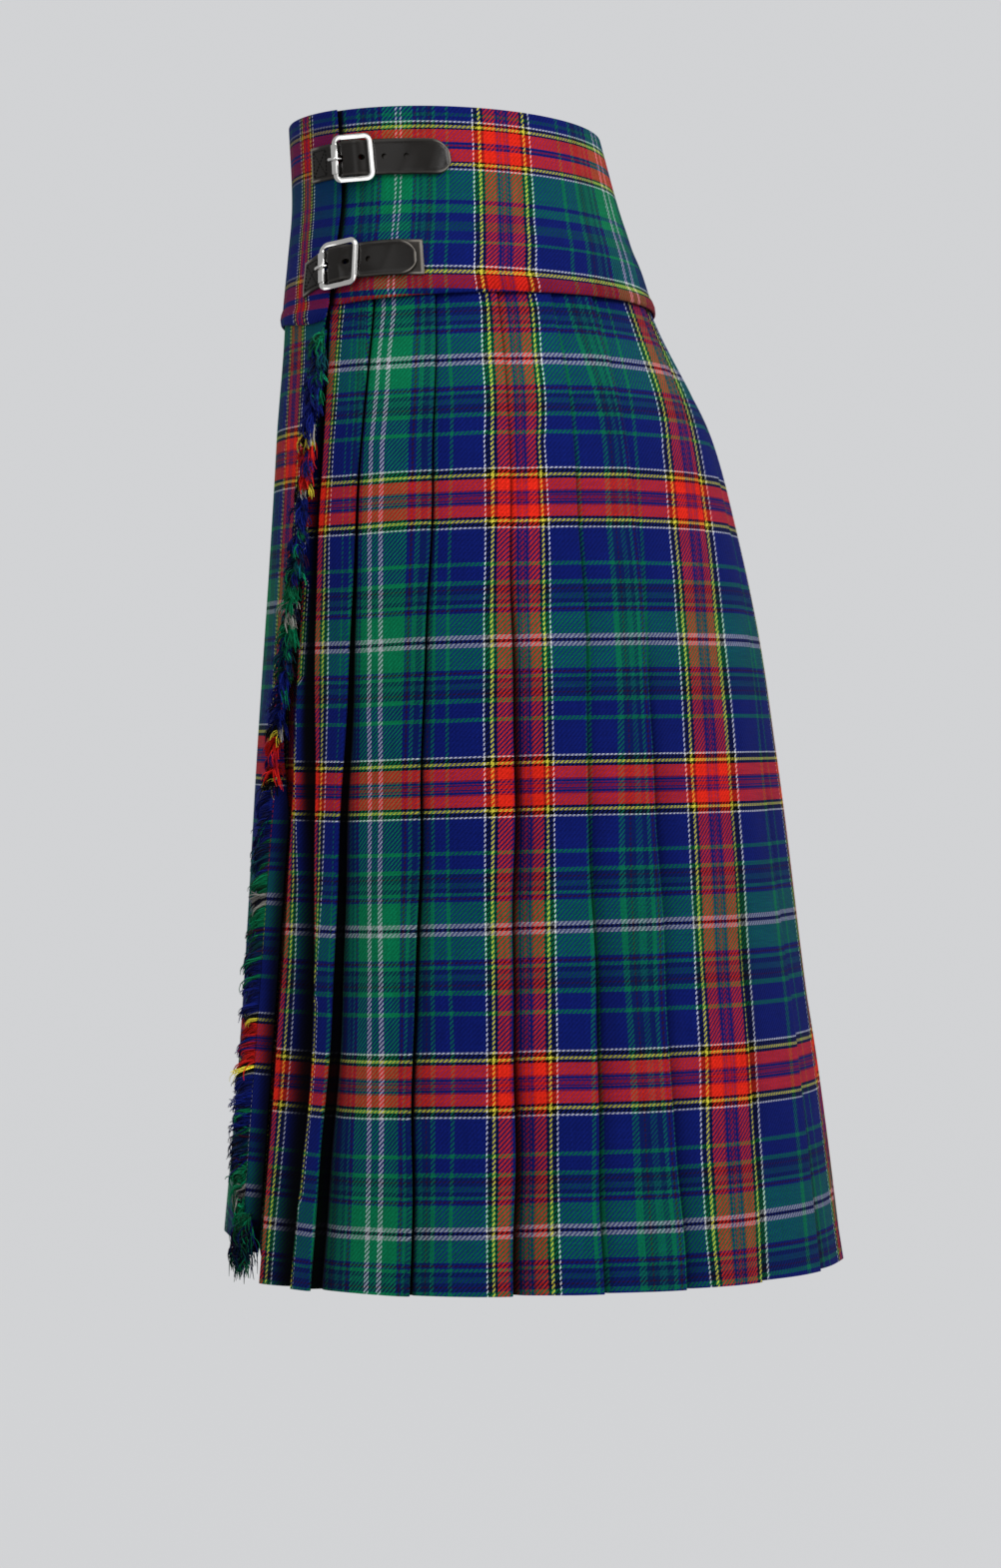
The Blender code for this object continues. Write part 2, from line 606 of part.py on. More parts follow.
def tuft_direction(drop, angle, reach, fall, outward):
    """A unit vector: along the ring, downward and away from the form."""
    here = np.array(form_point(angle, drop))
    along = np.array(form_point(angle + 1.0, drop)) - here
    along /= np.linalg.norm(along)
    away = np.array(form_point(angle, drop, 0.01)) - here
    away /= np.linalg.norm(away)
    down = np.array(form_point(angle, drop + 0.01)) - here
    down /= np.linalg.norm(down)
    direction = reach * along + outward * away + fall * down
    return direction / np.linalg.norm(direction)


def draw_out_tuft(bm, face, row, index):
    """Extrude one face of the strip into a tapered tuft with a bend half way."""
    centre = np.array(face.calc_center_median())
    drop = -centre[2]
    angle = apron_edge(drop)
    reach = table_value(FRINGE_LAY, "drop", row + "_reach", drop)
    fall = table_value(FRINGE_LAY, "drop", "fall", drop)
    outward = table_value(FRINGE_LAY, "drop", "outward", drop)
    length = table_value(FRINGE_LAY, "drop", "length", drop)
    sway_by = math.sin(index * 2.4)
    length *= 1 + 0.12 * sway_by
    if row == "face":
        outward += 0.35
    springing = tuft_direction(drop, angle, reach * 1.2, fall * 0.6, outward + 0.3)
    hanging = tuft_direction(drop, angle, reach + 0.06 * sway_by, fall * 1.25, outward * 0.5)
    steps = [(springing * 0.45 * length, FRINGE_ROOT_SHARE), (hanging * 0.55 * length, 0.5)]
    for step, size in steps:
        face = bmesh.ops.extrude_discrete_faces(bm, faces=[face])["faces"][0]
        middle = np.array(face.calc_center_median())
        for vertex in face.verts:
            vertex.co = middle + (np.array(vertex.co) - middle) * size + step


# ---------------------------------------------------------------- straps and buckles
def route_mapping(strap):
    """A function that bends flat strap coordinates (along, up, height) round the yoke."""
    step = 0.0005
    start = strap.buckle_angle
    angles = {0: start}
    for sign in (1, -1):
        angle = start
        for i in range(1, 140):
            drop = table_value(strap.route, "along", "drop", sign * i * step)
            here = np.array(form_point(angle, drop, 0.004))
            ahead = np.array(form_point(angle + sign * 0.1, drop, 0.004))
            angle += sign * 0.1 * step / np.linalg.norm(ahead - here)
            angles[sign * i] = angle

    def on_yoke(along, up, height):
        lower = math.floor(along / step)
        angle = mix(angles[lower], angles[lower + 1], along / step - lower)
        drop = table_value(strap.route, "along", "drop", along) - up
        return form_point(angle, drop, height)

    return on_yoke


def bend_onto_yoke(obj, on_yoke):
    for vertex in obj.data.vertices:
        vertex.co = on_yoke(*vertex.co)
    bm = bmesh.new()
    bm.from_mesh(obj.data)
    bmesh.ops.recalc_face_normals(bm, faces=bm.faces)
    bm.to_mesh(obj.data)
    bm.free()


def apply_boolean(obj, other, operation):
    """Cut or join with another object, then remove that object."""
    modifier = obj.modifiers.new("shape", "BOOLEAN")
    modifier.operation = operation
    modifier.object = other
    depsgraph = bpy.context.evaluated_depsgraph_get()
    result = bpy.data.meshes.new_from_object(obj.evaluated_get(depsgraph))
    obj.modifiers.clear()
    obj.data = result
    bpy.data.objects.remove(other)


def ribbon(name, stations, thickness, half_width_at, material):
    """A leather strip: stations are (along, height) of its mid line, in flat coordinates."""
    outer_line = offset_path(stations, -thickness / 2)
    inner_line = offset_path(stations, thickness / 2)
    across = [-1.0, 0.0, 1.0]
    grids = []
    for line in (outer_line, inner_line):
        grid = []
        for share in across:
            grid.append([(x, share * half_width_at(x), h) for x, h in line])
        grids.append(grid)
    return wall_between(name, grids[0], grids[1], material)


def round_hole(along, up, low, high, radius):
    bm = bmesh.new()
    bmesh.ops.create_cone(bm, cap_ends=True, segments=8, radius1=radius, radius2=radius,
                          depth=high - low)
    for vertex in bm.verts:
        vertex.co.x += along
        vertex.co.y += up
        vertex.co.z += (low + high) / 2
    mesh = bpy.data.meshes.new("hole")
    bm.to_mesh(mesh)
    bm.free()
    cutter = bpy.data.objects.new("hole", mesh)
    bpy.context.collection.objects.link(cutter)
    cutter.hide_render = True
    cutter.display_type = "WIRE"
    return cutter


def box_cutter(low, high):
    bm = bmesh.new()
    bmesh.ops.create_cube(bm, size=1.0)
    for vertex in bm.verts:
        vertex.co = [mix(low[k], high[k], vertex.co[k] + 0.5) for k in range(3)]
    mesh = bpy.data.meshes.new("slot")
    bm.to_mesh(mesh)
    bm.free()
    cutter = bpy.data.objects.new("slot", mesh)
    bpy.context.collection.objects.link(cutter)
    cutter.hide_render = True
    cutter.display_type = "WIRE"
    return cutter


def strap_height(along):
    """Height of the strap's mid line: tab, hump over the centre bar, then its tail."""
    if along < 0:
        return mix(TAB_MID, HUMP_MID, smooth_step(along, -0.0104, -0.0062))
    return mix(HUMP_MID, TAIL_MID, smooth_step(along, 0.0012, 0.0100))


def build_strap(strap, on_yoke, leather):
    tip_radius = STRAP_HALF_WIDTH
    tip_centre = strap.tip_reach - tip_radius

    def half_width_at(along):
        past = along - tip_centre
        if past <= 0:
            return STRAP_HALF_WIDTH
        return max(math.sqrt(max(tip_radius ** 2 - past ** 2, 0.0)), 0.0016)

    places = list(np.linspace(-strap.tab_reach, -0.0106, 7))
    places += [-0.0096, -0.0086, -0.0078, -0.0068, -0.0060, -0.0030, 0.0]
    places += [0.0020, 0.0040, 0.0058, 0.0076, 0.0096]
    places += list(np.linspace(0.0130, tip_centre, 9))
    places += [tip_centre + tip_radius * math.sin(math.radians(a)) for a in (20, 40, 58, 74, 86)]
    stations = [(x, strap_height(x)) for x in places]
    obj = ribbon("strap_" + strap.name, stations, STRAP_LEATHER, half_width_at, leather)
    for k in range(strap.holes):
        along = PRONG_HOLE + k * HOLE_PITCH
        radius = HOLE_RADIUS if k else PIERCED_RADIUS
        apply_boolean(obj, round_hole(along, 0.0, 0.0, 0.012, radius), "DIFFERENCE")
    bend_onto_yoke(obj, on_yoke)


def build_chape(strap, on_yoke, leather):
    """The short strip that holds the buckle: sewn down, its end curled round the centre bar."""
    curl_radius = CENTRE_BAR_RADIUS + FIT + CHAPE_LEATHER / 2
    stations = [(curl_radius * math.cos(math.radians(d)),
                 CENTRE_BAR_HEIGHT + curl_radius * math.sin(math.radians(d)))
                for d in range(40, 271, 23)]
    stations += [(x, CHAPE_MID) for x in np.linspace(0.004, strap.chape_reach, 11)]
    obj = ribbon("chape_" + strap.name, [(x, h) for x, h in reversed(stations)], CHAPE_LEATHER,
                 lambda along: STRAP_HALF_WIDTH, leather)
    slot_half = PRONG_RADIUS + 0.0008
    slot = box_cutter((-0.004, -slot_half, 0.0), (0.0032, slot_half, 0.009))
    apply_boolean(obj, slot, "DIFFERENCE")
    bend_onto_yoke(obj, on_yoke)


def ring_of_tube(centre, along, across, half_across, half_height, sides):
    """One cross-section of a bar: a rounded loop square to its run."""
    ring = []
    for k in range(sides):
        a = 2 * math.pi * (k + 0.5) / sides
        stretch = 1.0 / max(abs(math.cos(a)), abs(math.sin(a))) ** 0.45
        ring.append(centre + across * half_across * math.cos(a) * stretch
                    + np.array([0.0, 0.0, half_height * math.sin(a) * stretch]))
    return ring


def tube_faces(rings, closed, sides):
    faces = []
    count = len(rings)
    for i in range(count if closed else count - 1):
        j = (i + 1) % count
        for k in range(sides):
            m = (k + 1) % sides
            faces.append((i * sides + k, i * sides + m, j * sides + m, j * sides + k))
    if not closed:
        faces.append(tuple(reversed(range(sides))))
        faces.append(tuple((count - 1) * sides + k for k in range(sides)))
    return faces


def rail_height(along):
    return curve_value(along, [-FRAME_HALF_LENGTH, 0.0, FRAME_HALF_LENGTH],
                       [LEFT_BAR_HEIGHT, RAIL_MID_HEIGHT, RIGHT_BAR_HEIGHT])


def build_frame(strap, on_yoke, metal):
    """The buckle: a rounded rectangle of bar with a lower centre bar between its rails."""
    sides = 8
    corners = [(1, 1), (-1, 1), (-1, -1), (1, -1)]
    path = []
    for index, (sx, sy) in enumerate(corners):
        cx = sx * (FRAME_HALF_LENGTH - FRAME_CORNER)
        cy = sy * (FRAME_HALF_HEIGHT - FRAME_CORNER)
        for k in range(4):
            a = math.radians(90 * index + 30 * k)
            path.append((cx + FRAME_CORNER * math.cos(a), cy + FRAME_CORNER * math.sin(a)))
        if index in (0, 2):
            path += [(sx * 0.004, sy * FRAME_HALF_HEIGHT), (-sx * 0.004, sy * FRAME_HALF_HEIGHT)]
    rings = []
    for i, (x, y) in enumerate(path):
        ahead, behind = path[(i + 1) % len(path)], path[i - 1]
        run = np.array([ahead[0] - behind[0], ahead[1] - behind[1], 0.0])
        run /= np.linalg.norm(run)
        across = np.array([run[1], -run[0], 0.0])
        centre = np.array([x, y, rail_height(x)])
        rings.append(ring_of_tube(centre, run, across, BAR_HALF_WIDTH, BAR_HALF_HEIGHT, sides))
    obj = add_object("buckle_frame_" + strap.name, [p for r in rings for p in r],
                     tube_faces(rings, True, sides), metal)
    bar = []
    for y in (-FRAME_HALF_HEIGHT, FRAME_HALF_HEIGHT):
        centre = np.array([0.0, y, CENTRE_BAR_HEIGHT])
        bar.append([centre + CENTRE_BAR_RADIUS * np.array([math.cos(a), 0.0, math.sin(a)])
                    for a in (2 * math.pi * (k + 0.5) / 10 for k in range(10))])
    bar_obj = add_object("bar", [p for r in bar for p in r], tube_faces(bar, False, 10), metal)
    apply_boolean(obj, bar_obj, "UNION")
    bend_onto_yoke(obj, on_yoke)


def build_roller(strap, on_yoke, metal):
    """A sheet-metal sleeve that turns on the buckle's left bar."""
    sides = 12
    vertices, faces = [], []
    for half_wide, half_high in ((BAR_HALF_WIDTH + FIT + ROLLER_WALL, ROLLER_HALF_HEIGHT),
                                 (BAR_HALF_WIDTH + FIT, BAR_HALF_HEIGHT + FIT)):
        for y in (-ROLLER_HALF_LENGTH, ROLLER_HALF_LENGTH):
            centre = np.array([-FRAME_HALF_LENGTH, y, LEFT_BAR_HEIGHT])
            vertices += ring_of_tube(centre, None, np.array([1.0, 0.0, 0.0]), half_wide,
                                     half_high, sides)
    for k in range(sides):
        m = (k + 1) % sides
        low_out, high_out, low_in, high_in = 0, sides, 2 * sides, 3 * sides
        faces.append((low_out + k, low_out + m, high_out + m, high_out + k))
        faces.append((low_in + m, low_in + k, high_in + k, high_in + m))
        faces.append((low_out + m, low_out + k, low_in + k, low_in + m))
        faces.append((high_out + k, high_out + m, high_in + m, high_in + k))
    obj = add_object("buckle_roller_" + strap.name, vertices, faces, metal)
    bend_onto_yoke(obj, on_yoke)


def build_prong(strap, on_yoke, metal):
    """The tongue: a ring round the centre bar, then a pin up through the strap's hole."""
    sides = 6
    ring_radius = CENTRE_BAR_RADIUS + FIT + PRONG_RING_RADIUS
    top = LEFT_BAR_HEIGHT + ROLLER_HALF_HEIGHT + FIT + PRONG_RADIUS
    path = []
    for degrees in range(100, -181, -28):
        a = math.radians(degrees)
        path.append((ring_radius * math.cos(a), CENTRE_BAR_HEIGHT + ring_radius * math.sin(a)))
    ring_points = len(path)
    under = CENTRE_BAR_HEIGHT + 0.0018
    path += [
        (-0.0022, under - 0.0003),
        (-0.0040, under),
        (-0.0060, under),
        (PRONG_HOLE + 0.0006, mix(under, top, 0.24)),
        (PRONG_HOLE - 0.0003, mix(under, top, 0.62)),
        (-FRAME_HALF_LENGTH + 0.0019, top + 0.0001),
        (-FRAME_HALF_LENGTH, top + 0.0002),
        (-FRAME_HALF_LENGTH - 0.0019, top),
        (-FRAME_HALF_LENGTH - PRONG_PAST_BAR, top - 0.0007),
    ]
    points = [np.array([x, 0.0, h]) for x, h in path]
    rings = []
    for i, point in enumerate(points):
        run = points[min(i + 1, len(points) - 1)] - points[max(i - 1, 0)]
        run /= np.linalg.norm(run)
        side = np.array([0.0, 1.0, 0.0])
        up = np.cross(run, side)
        size = PRONG_RING_RADIUS if i < ring_points else PRONG_RADIUS
        if i == len(points) - 1:
            size *= 0.7
        rings.append([point + size * (math.cos(a) * side + math.sin(a) * up)
                      for a in (2 * math.pi * k / sides for k in range(sides))])
    obj = add_object("buckle_prong_" + strap.name, [p for r in rings for p in r],
                     tube_faces(rings, False, sides), metal)
    bend_onto_yoke(obj, on_yoke)


def build_buckled_straps(leather, metal):
    for strap in STRAPS:
        on_yoke = route_mapping(strap)
        build_strap(strap, on_yoke, leather)
        build_chape(strap, on_yoke, leather)
        build_frame(strap, on_yoke, metal)
        build_roller(strap, on_yoke, metal)
        build_prong(strap, on_yoke, metal)


# ---------------------------------------------------------------- the kilt
def build_kilt():
    for obj in list(bpy.data.objects):
        bpy.data.objects.remove(obj)
    tartan = new_material("tartan_wool", (0.03, 0.10, 0.12), 0.85)
    fringe = new_material("fringe_wool", (0.06, 0.09, 0.14), 0.90)
    leather = new_material("black_leather", (0.015, 0.014, 0.014), 0.40)
    metal = new_material("polished_metal", (0.80, 0.79, 0.77), 0.15, 1.0)
    build_skirt(tartan)
    build_yoke(tartan)
    build_fringe(fringe)
    build_buckled_straps(leather, metal)


build_kilt()
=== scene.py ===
import math
from collections import namedtuple

import bmesh
import bpy
import numpy as np
from mathutils import Matrix, Vector


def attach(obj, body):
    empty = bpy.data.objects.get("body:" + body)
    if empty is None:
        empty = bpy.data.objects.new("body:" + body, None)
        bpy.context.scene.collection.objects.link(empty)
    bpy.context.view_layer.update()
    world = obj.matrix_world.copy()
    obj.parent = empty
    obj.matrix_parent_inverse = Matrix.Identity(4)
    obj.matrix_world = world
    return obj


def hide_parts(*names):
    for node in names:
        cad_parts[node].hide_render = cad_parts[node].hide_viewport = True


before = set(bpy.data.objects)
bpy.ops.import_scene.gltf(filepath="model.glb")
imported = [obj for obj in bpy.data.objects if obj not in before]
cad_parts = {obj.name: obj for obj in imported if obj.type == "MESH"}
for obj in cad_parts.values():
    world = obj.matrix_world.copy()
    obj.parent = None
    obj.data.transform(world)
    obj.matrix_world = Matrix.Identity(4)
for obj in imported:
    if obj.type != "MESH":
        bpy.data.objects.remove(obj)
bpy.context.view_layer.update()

RANDOM = np.random.default_rng(7)


def make_rows(columns, rows):
    """A table, as a list of rows with named columns."""
    kind = namedtuple("Row", columns)
    return [kind(*row) for row in rows]


# ---------------------------------------------------------------- driving dimensions
CLOTH = 0.0012            # thickness of the skirt cloth
YOKE_CLOTH = 0.0016       # thickness of the yoke, a faced double layer
SEAM = 0.0003             # clearance between pieces that are sewn together
LAP = 0.011               # how far the skirt is tucked up inside the yoke
FOLD_PITCH = 0.0016       # from one layer of a pressed fold to the next
NOSE = 0.0012             # depth of the rounded edge of a fold
OVER_LIFT = YOKE_CLOTH + CLOTH + 2 * SEAM      # the overlap's outer face above the layer beneath
TUCK = YOKE_CLOTH + SEAM                       # a tucked edge below the yoke's outer face
ROLL = 0.0012             # how far the yoke's lower edge swells outward
PLEAT_HEM_DROP = 0.681    # waist to hem, at the middle of the back
HIP_LIFT = 0.006          # how far the hem rises over the hip
UNDERLAP_SHARE = 0.52     # hidden part of a pleat as a share of the panel that covers it
BOX_TUCK_SHARE = 0.42     # each hidden return of the box pleat, as a share of its width
FRONT_TUCK_SHARE = 0.5    # hidden return of the first knife pleat, as a share of its panel
FLAT_MIDDLE, FLAT_REACH = 18.0, 52.0           # degrees: middle and half extent of the flatter front
FORM = make_rows("drop half_width half_depth centre_y flat", [
    (0.000, 0.1150, 0.0915, 0.0000, 0.0018),
    (0.050, 0.1212, 0.0983, 0.0075, 0.0038),
    (0.081, 0.1300, 0.1053, 0.0120, 0.0046),
    (0.115, 0.1385, 0.1122, 0.0165, 0.0045),
    (0.179, 0.1570, 0.1283, 0.0310, 0.0046),
    (0.246, 0.1685, 0.1391, 0.0385, 0.0052),
    (0.307, 0.1755, 0.1469, 0.0435, 0.0048),
    (0.375, 0.1812, 0.1537, 0.0465, 0.0046),
    (0.485, 0.1910, 0.1647, 0.0512, 0.0042),
    (0.564, 0.1985, 0.1734, 0.0548, 0.0032),
    (0.690, 0.2096, 0.1879, 0.0573, 0.0032),
])
KNIFE_ANGLES = [          # at the yoke and at the hem, from knife_04 to knife_14
    (139.5, 123.3), (154.5, 138.1), (186.0, 155.4), (198.0, 174.0), (209.5, 192.0), (221.0, 209.5),
    (232.5, 227.0), (244.5, 244.5), (257.0, 261.5), (270.0, 278.5), (284.0, 295.5),
]
FOLDS = make_rows("name yoke_angle hem_angle yoke_recess hem_recess", [
    ("front_knife", 64.5, 54.7, 0.0034, 0.0064),
    ("box_front", 68.5, 65.3, 0.0034, 0.0100),
    ("box_back", 84.3, 69.6, 0.0034, 0.0094),
    ("knife_02", 104.0, 90.4, 0.0036, 0.0048),
    ("knife_03", 122.5, 108.0, 0.0034, 0.0050),
    *[("knife_%02d" % (4 + k), *angles, 0.0034, 0.0048) for k, angles in enumerate(KNIFE_ANGLES)],
    ("knife_15", 299.0, 312.0, 0.0034, 0.0050),
])
FRONT_KNIFE, BOX_FRONT, BOX_BACK = FOLDS[:3]
LAST_FOLD = FOLDS[-1]
PLEAT_LENGTHS = make_rows("name first_fold last_fold", [
    ("pleats_left", "front_knife", "knife_05"),
    ("pleats_back", "knife_05", "knife_10"),
    ("pleats_right", "knife_10", "knife_15"),
])
APRON_EDGE = make_rows("drop angle", [
    (0.100, 69.5), (0.130, 67.2), (0.189, 62.6), (0.288, 57.3), (0.345, 53.2), (0.432, 49.6),
    (0.519, 48.6), (0.690, 48.3),
])
CLOSING_EDGE = make_rows("drop angle", [
    (0.000, 74.6), (0.050, 74.3), (0.078, 73.0), (0.102, 71.0), (0.128, 70.4),
])
CORNER_RADIUS = 0.010           # rounded lower corner of the overlap's yoke
YOKE_SEAM_DROP = 0.115          # where the skirt meets the yoke
APRON_LAST_DROP = 0.660
OVER_YOKE_LOWEST = 0.129
HEM_BLEND_DROP = 0.595          # below this the rows lean towards a sloping hem
TOP_BLEND_DROP = 0.131          # above this they lean towards the yoke's edge
UNDER_APRON_EDGE = -40.0
YOKE_SIDE_SEAM = 299.0
UNDER_YOKE_SEAM = 61.8
UNDER_YOKE_EDGE = -44.0
LIFT_START, LIFT_END = 5.0, 50.0               # degrees between which the overlap's face rises
YOKE_BACK_DROP = 0.108          # the yoke's lower edge at the middle of the back
YOKE_FRONT_EXTRA = 0.0130       # how much lower it is at the middle of the front
OVER_YOKE_EXTRA = 0.0095        # how much lower still the overlap's yoke ends at the left
OVER_YOKE_ARCH = 0.0035         # how far its lower edge arches up before its end
APRON_HEM = (0.6795, 0.6576)    # drops of the overlap's hem at -48 and at 48 degrees

# ---------------------------------------------------------------- fineness of the cloth meshes
ROW_STEP = 0.0060         # height of a row of the skirt
SHOWN_COLUMNS = 26        # across the visible part of a pleat
NOSE_COLUMNS = 7
HIDDEN_COLUMNS = 5
PLAIN_STEP = 1.0          # degrees between the columns of a plain panel

# ---------------------------------------------------------------- the sett
# The check repeats, mirrored, about the middle of its red group and again half a repeat on.
HALF_SETT = 81.5          # millimetres
PALETTE = {               # sRGB, 0 to 255
    "crimson": (176, 22, 46), "red": (236, 40, 22), "scarlet": (255, 46, 28),
    "madder": (204, 30, 24), "maroon": (56, 14, 34), "navy": (12, 28, 112), "ink": (8, 34, 80),
    "dark": (6, 10, 34), "black": (4, 6, 12), "yellow": (240, 228, 70), "ochre": (206, 176, 60),
    "white": (244, 244, 246), "ecru": (158, 156, 150), "pale": (196, 200, 208),
    "grey": (188, 194, 196), "green": (4, 128, 84), "sea": (6, 104, 86), "teal": (6, 80, 88),
}
RED_GROUP = [             # where each band ends, in millimetres from the group's middle
    (0.7, "crimson"), (1.5, "navy"), (2.2, "crimson"), (3.2, "navy"), (4.2, "crimson"),
    (10.8, "red"), (12.2, "black"), (14.0, "yellow"), (16.4, "black"), (17.4, "white"),
]
BLUE_GREEN = [
    (36.5, "navy"), (38.8, "green"), (46.8, "navy"), (49.6, "green"), (51.6, "ink"),
    (52.4, "maroon"), (54.7, "ink"), (57.9, "teal"), (60.4, "ink"), (62.1, "green"),
    (63.3, "navy"), (64.1, "maroon"), (65.3, "navy"),
]
YOKE_BANDS = [            # the yoke's weft, from the waist down its whole depth
    (4.0, "navy"), (6.0, "teal"), (8.6, "navy"), (9.6, "white"), (11.4, "black"),
    (12.9, "yellow"), (14.0, "black"), (21.2, "scarlet"), (22.8, "navy"), (24.2, "crimson"),
    (25.8, "navy"), (33.0, "scarlet"), (34.2, "black"), (35.7, "yellow"), (37.4, "black"),
    (38.4, "white"), (56.0, "green"), (58.7, "navy"), (64.1, "green"), (69.5, "navy"),
    (74.9, "teal"), (81.0, "navy"), (82.6, "green"), (95.6, "navy"), (96.6, "white"),
    (98.6, "black"), (100.2, "yellow"), (101.3, "black"), (109.5, "madder"), (112.5, "navy"),
    (118.5, "madder"), (135.0, "navy"),
]


def recoloured(bands, swaps):
    """The same bands with some of their colours swapped for others."""
    return [(upto, swaps.get(colour, colour)) for upto, colour in bands]


# The overlap's yoke is darker than the cloth round it: its bands in darker colours, as painted shade.
SHADED_OVERLAP_BANDS = recoloured(YOKE_BANDS, {"scarlet": "crimson", "madder": "crimson", "green": "teal",
                                  "yellow": "ochre", "white": "ecru"})
WARP_BANDS = [*RED_GROUP, *recoloured(BLUE_GREEN, {"green": "sea"}),
              (75.6, "green"), (78.8, "pale"), (81.5, "green")]
WEFT_BANDS = [*recoloured(RED_GROUP, {"red": "scarlet"}), *BLUE_GREEN,
              (77.9, "green"), (80.3, "grey"), (81.5, "dark")]
WARP_YARN = 0.66          # millimetres from one yarn to the next
WEFT_YARN = 0.71
WEFT_RED_CENTRE = 233.2   # drop in millimetres of the middle of a red group
WEFT_SETT = 163.5
# The weft bands of the pleats aren't quite even: how many millimetres they run low, by drop in
# metres and at these angles.
SAG_ANGLES = [74.0, 94.0, 118.0, 146.0, 174.0]
WEFT_SAG = [
    (0.129, 2.4, 2.4, 0.3, -2.3, -2.4),
    (0.189, 1.8, 0.9, -0.9, -3.5, -4.3),
    (0.276, 1.8, -0.3, -1.6, -3.7, -4.9),
    (0.322, 1.2, -0.6, -2.3, -3.9, -4.9),
    (0.403, 1.8, -0.1, -2.3, -2.8, -3.1),
    (0.443, 0.0, -2.5, -4.3, -4.8, -4.9),
    (0.482, -1.2, -3.4, -5.5, -6.0, -5.5),
    (0.522, 1.8, -1.0, -2.4, -1.8, -1.2),
    (0.562, 3.7, 1.0, -1.2, -0.6, 0.0),
    (0.602, 4.9, 1.6, -0.2, 0.2, 0.6),
    (0.641, 3.1, 0.1, -2.8, -1.3, -0.6),
]

# Where the warp's stripes run on each visible pleat. The drops of the columns of each line:
TRACK_DROPS = [0.12, 0.15, 0.20, 0.25, 0.30, 0.35, 0.40, 0.45, 0.50, 0.55, 0.60, 0.65]
# start and end give the place in the sett, in millimetres, at the panel's first and last edge,
# at the yoke and at the hem; lines give the angle of one stripe at each of the drops above.
Tracks = namedtuple("Tracks", "start end lines")
Line = namedtuple("Line", "place angles")
PANEL_TRACKS = {
    "front_knife": Tracks((6.5, 7.0), (40.0, 42.0), [
        Line(18.0, [64.8, 63.4, 61.4, 59.8, 58.4, 57.6, 58.4, 59.8, 60.0, 59.7, 59.3, 58.7])]),
    "box_front": Tracks((0.0, 10.0), (71.5, 37.0), [
        Line(18.0, [74.5, 72.6, 70.2, 69.3, 69.3, 69.5, 69.3, 69.0, 67.8, 66.4, 66.0, 65.8])]),
    "box_back": Tracks((70.0, 42.0), (107.0, 105.0), [
        Line(75.0, [86.8, 83.8, 80.2, 79.4, 79.0, 78.7, 79.2, 79.4, 80.0, 80.2, 80.5, 80.6]),
        Line(88.0, [92.4, 88.8, 85.5, 84.5, 83.8, 83.5, 83.9, 84.0, 84.5, 84.7, 84.8, 84.9])]),
    "knife_02": Tracks((119.0, 102.0), (155.6, 160.6), [
        Line(125.4, [107.7, 105.3, 102.7, 100.8, 99.1, 98.4, 97.9, 97.7, 97.7, 98.0, 97.7, 97.3]),
        Line(145.9, [117.4, 114.0, 110.6, 109.1, 107.2, 106.3, 105.9, 105.3, 104.9, 104.4,
                     103.9, 103.8])]),
    "knife_03": Tracks((-10.4, -7.6), (27.7, 41.0), [
        Line(17.2, [134.5, 130.1, 125.3, 123.7, 121.6, 120.7, 119.8, 119.0, 118.2, 117.4,
                    116.7, 116.4])]),
    "knife_04": Tracks((36.5, 36.5), (66.0, 66.0), [
        Line(48.2, [144.8, 143.6, 141.3, 138.5, 137.0, 136.1, 134.7, 133.2, 132.3, 131.7,
                    131.1, 130.8])]),
    "knife_05": Tracks((108.0, 129.8), (165.7, 177.5), [
        Line(145.9, [170.6, 166.0, 159.5, 155.8, 153.3, 152.1, 150.6, 149.1, 147.6, 146.4,
                     144.5, 143.7])]),
    "knife_06": Tracks((167.0, 174.5), (184.0, 209.0), []),
}
HIDDEN_PANEL_STEP = 37.0  # how much further on in the sett each hidden panel's middle lies
TWILL_PANEL_STEP = 300.0  # how far apart the panels' middles lie in the twill, in millimetres

# The overlap: the angle of the middle of its red group, at each of the drops above. The group
# is narrower here, and the cloth beyond it greener, than in the pleats.
APRON_LINE = [52.9, 53.1, 53.5, 53.3, 52.4, 51.6, 51.6, 51.8, 52.0, 52.0, 52.0, 52.0]
APRON_GROUP = 12.6        # millimetres from the middle of the group to its outer white line
EDGE_PLACE = 24.0         # place in the sett of the strip along its free edge
# Its weft bands sit higher than the pleats': at these drops, by these millimetres.
RISE_DROPS = [0.10, 0.20, 0.375, 0.545, 0.66]
APRON_RISE = [33.0, 29.0, 19.0, 16.0, 12.0]
# The yoke: stripes of the back piece and of the overlap's piece, at three drops.
YOKE_TRACK_DROPS = [0.0, 0.05, 0.10]
YOKE_BACK_LINES = [
    Line(-88.5, [97.2, 93.6, 90.3]), Line(-74.5, [99.8, 96.4, 92.9]),
    Line(-17.2, [124.4, 120.3, 116.5]), Line(17.2, [146.0, 141.0, 135.5]),
    Line(77.4, [183.0, 178.0, 173.0]), Line(277.4, [289.0, 287.0, 285.0]),
]
YOKE_OVER_LINES = [
    Line(-240.0, [-66.0, -65.0, -64.0]), Line(-60.0, [31.0, 30.8, 31.6]),
    Line(-17.4, [52.8, 52.6, 53.4]), Line(-10.8, [55.5, 55.2, 55.9]),
    Line(10.8, [59.3, 58.8, 59.3]), Line(17.4, [62.0, 61.4, 61.8]),
]


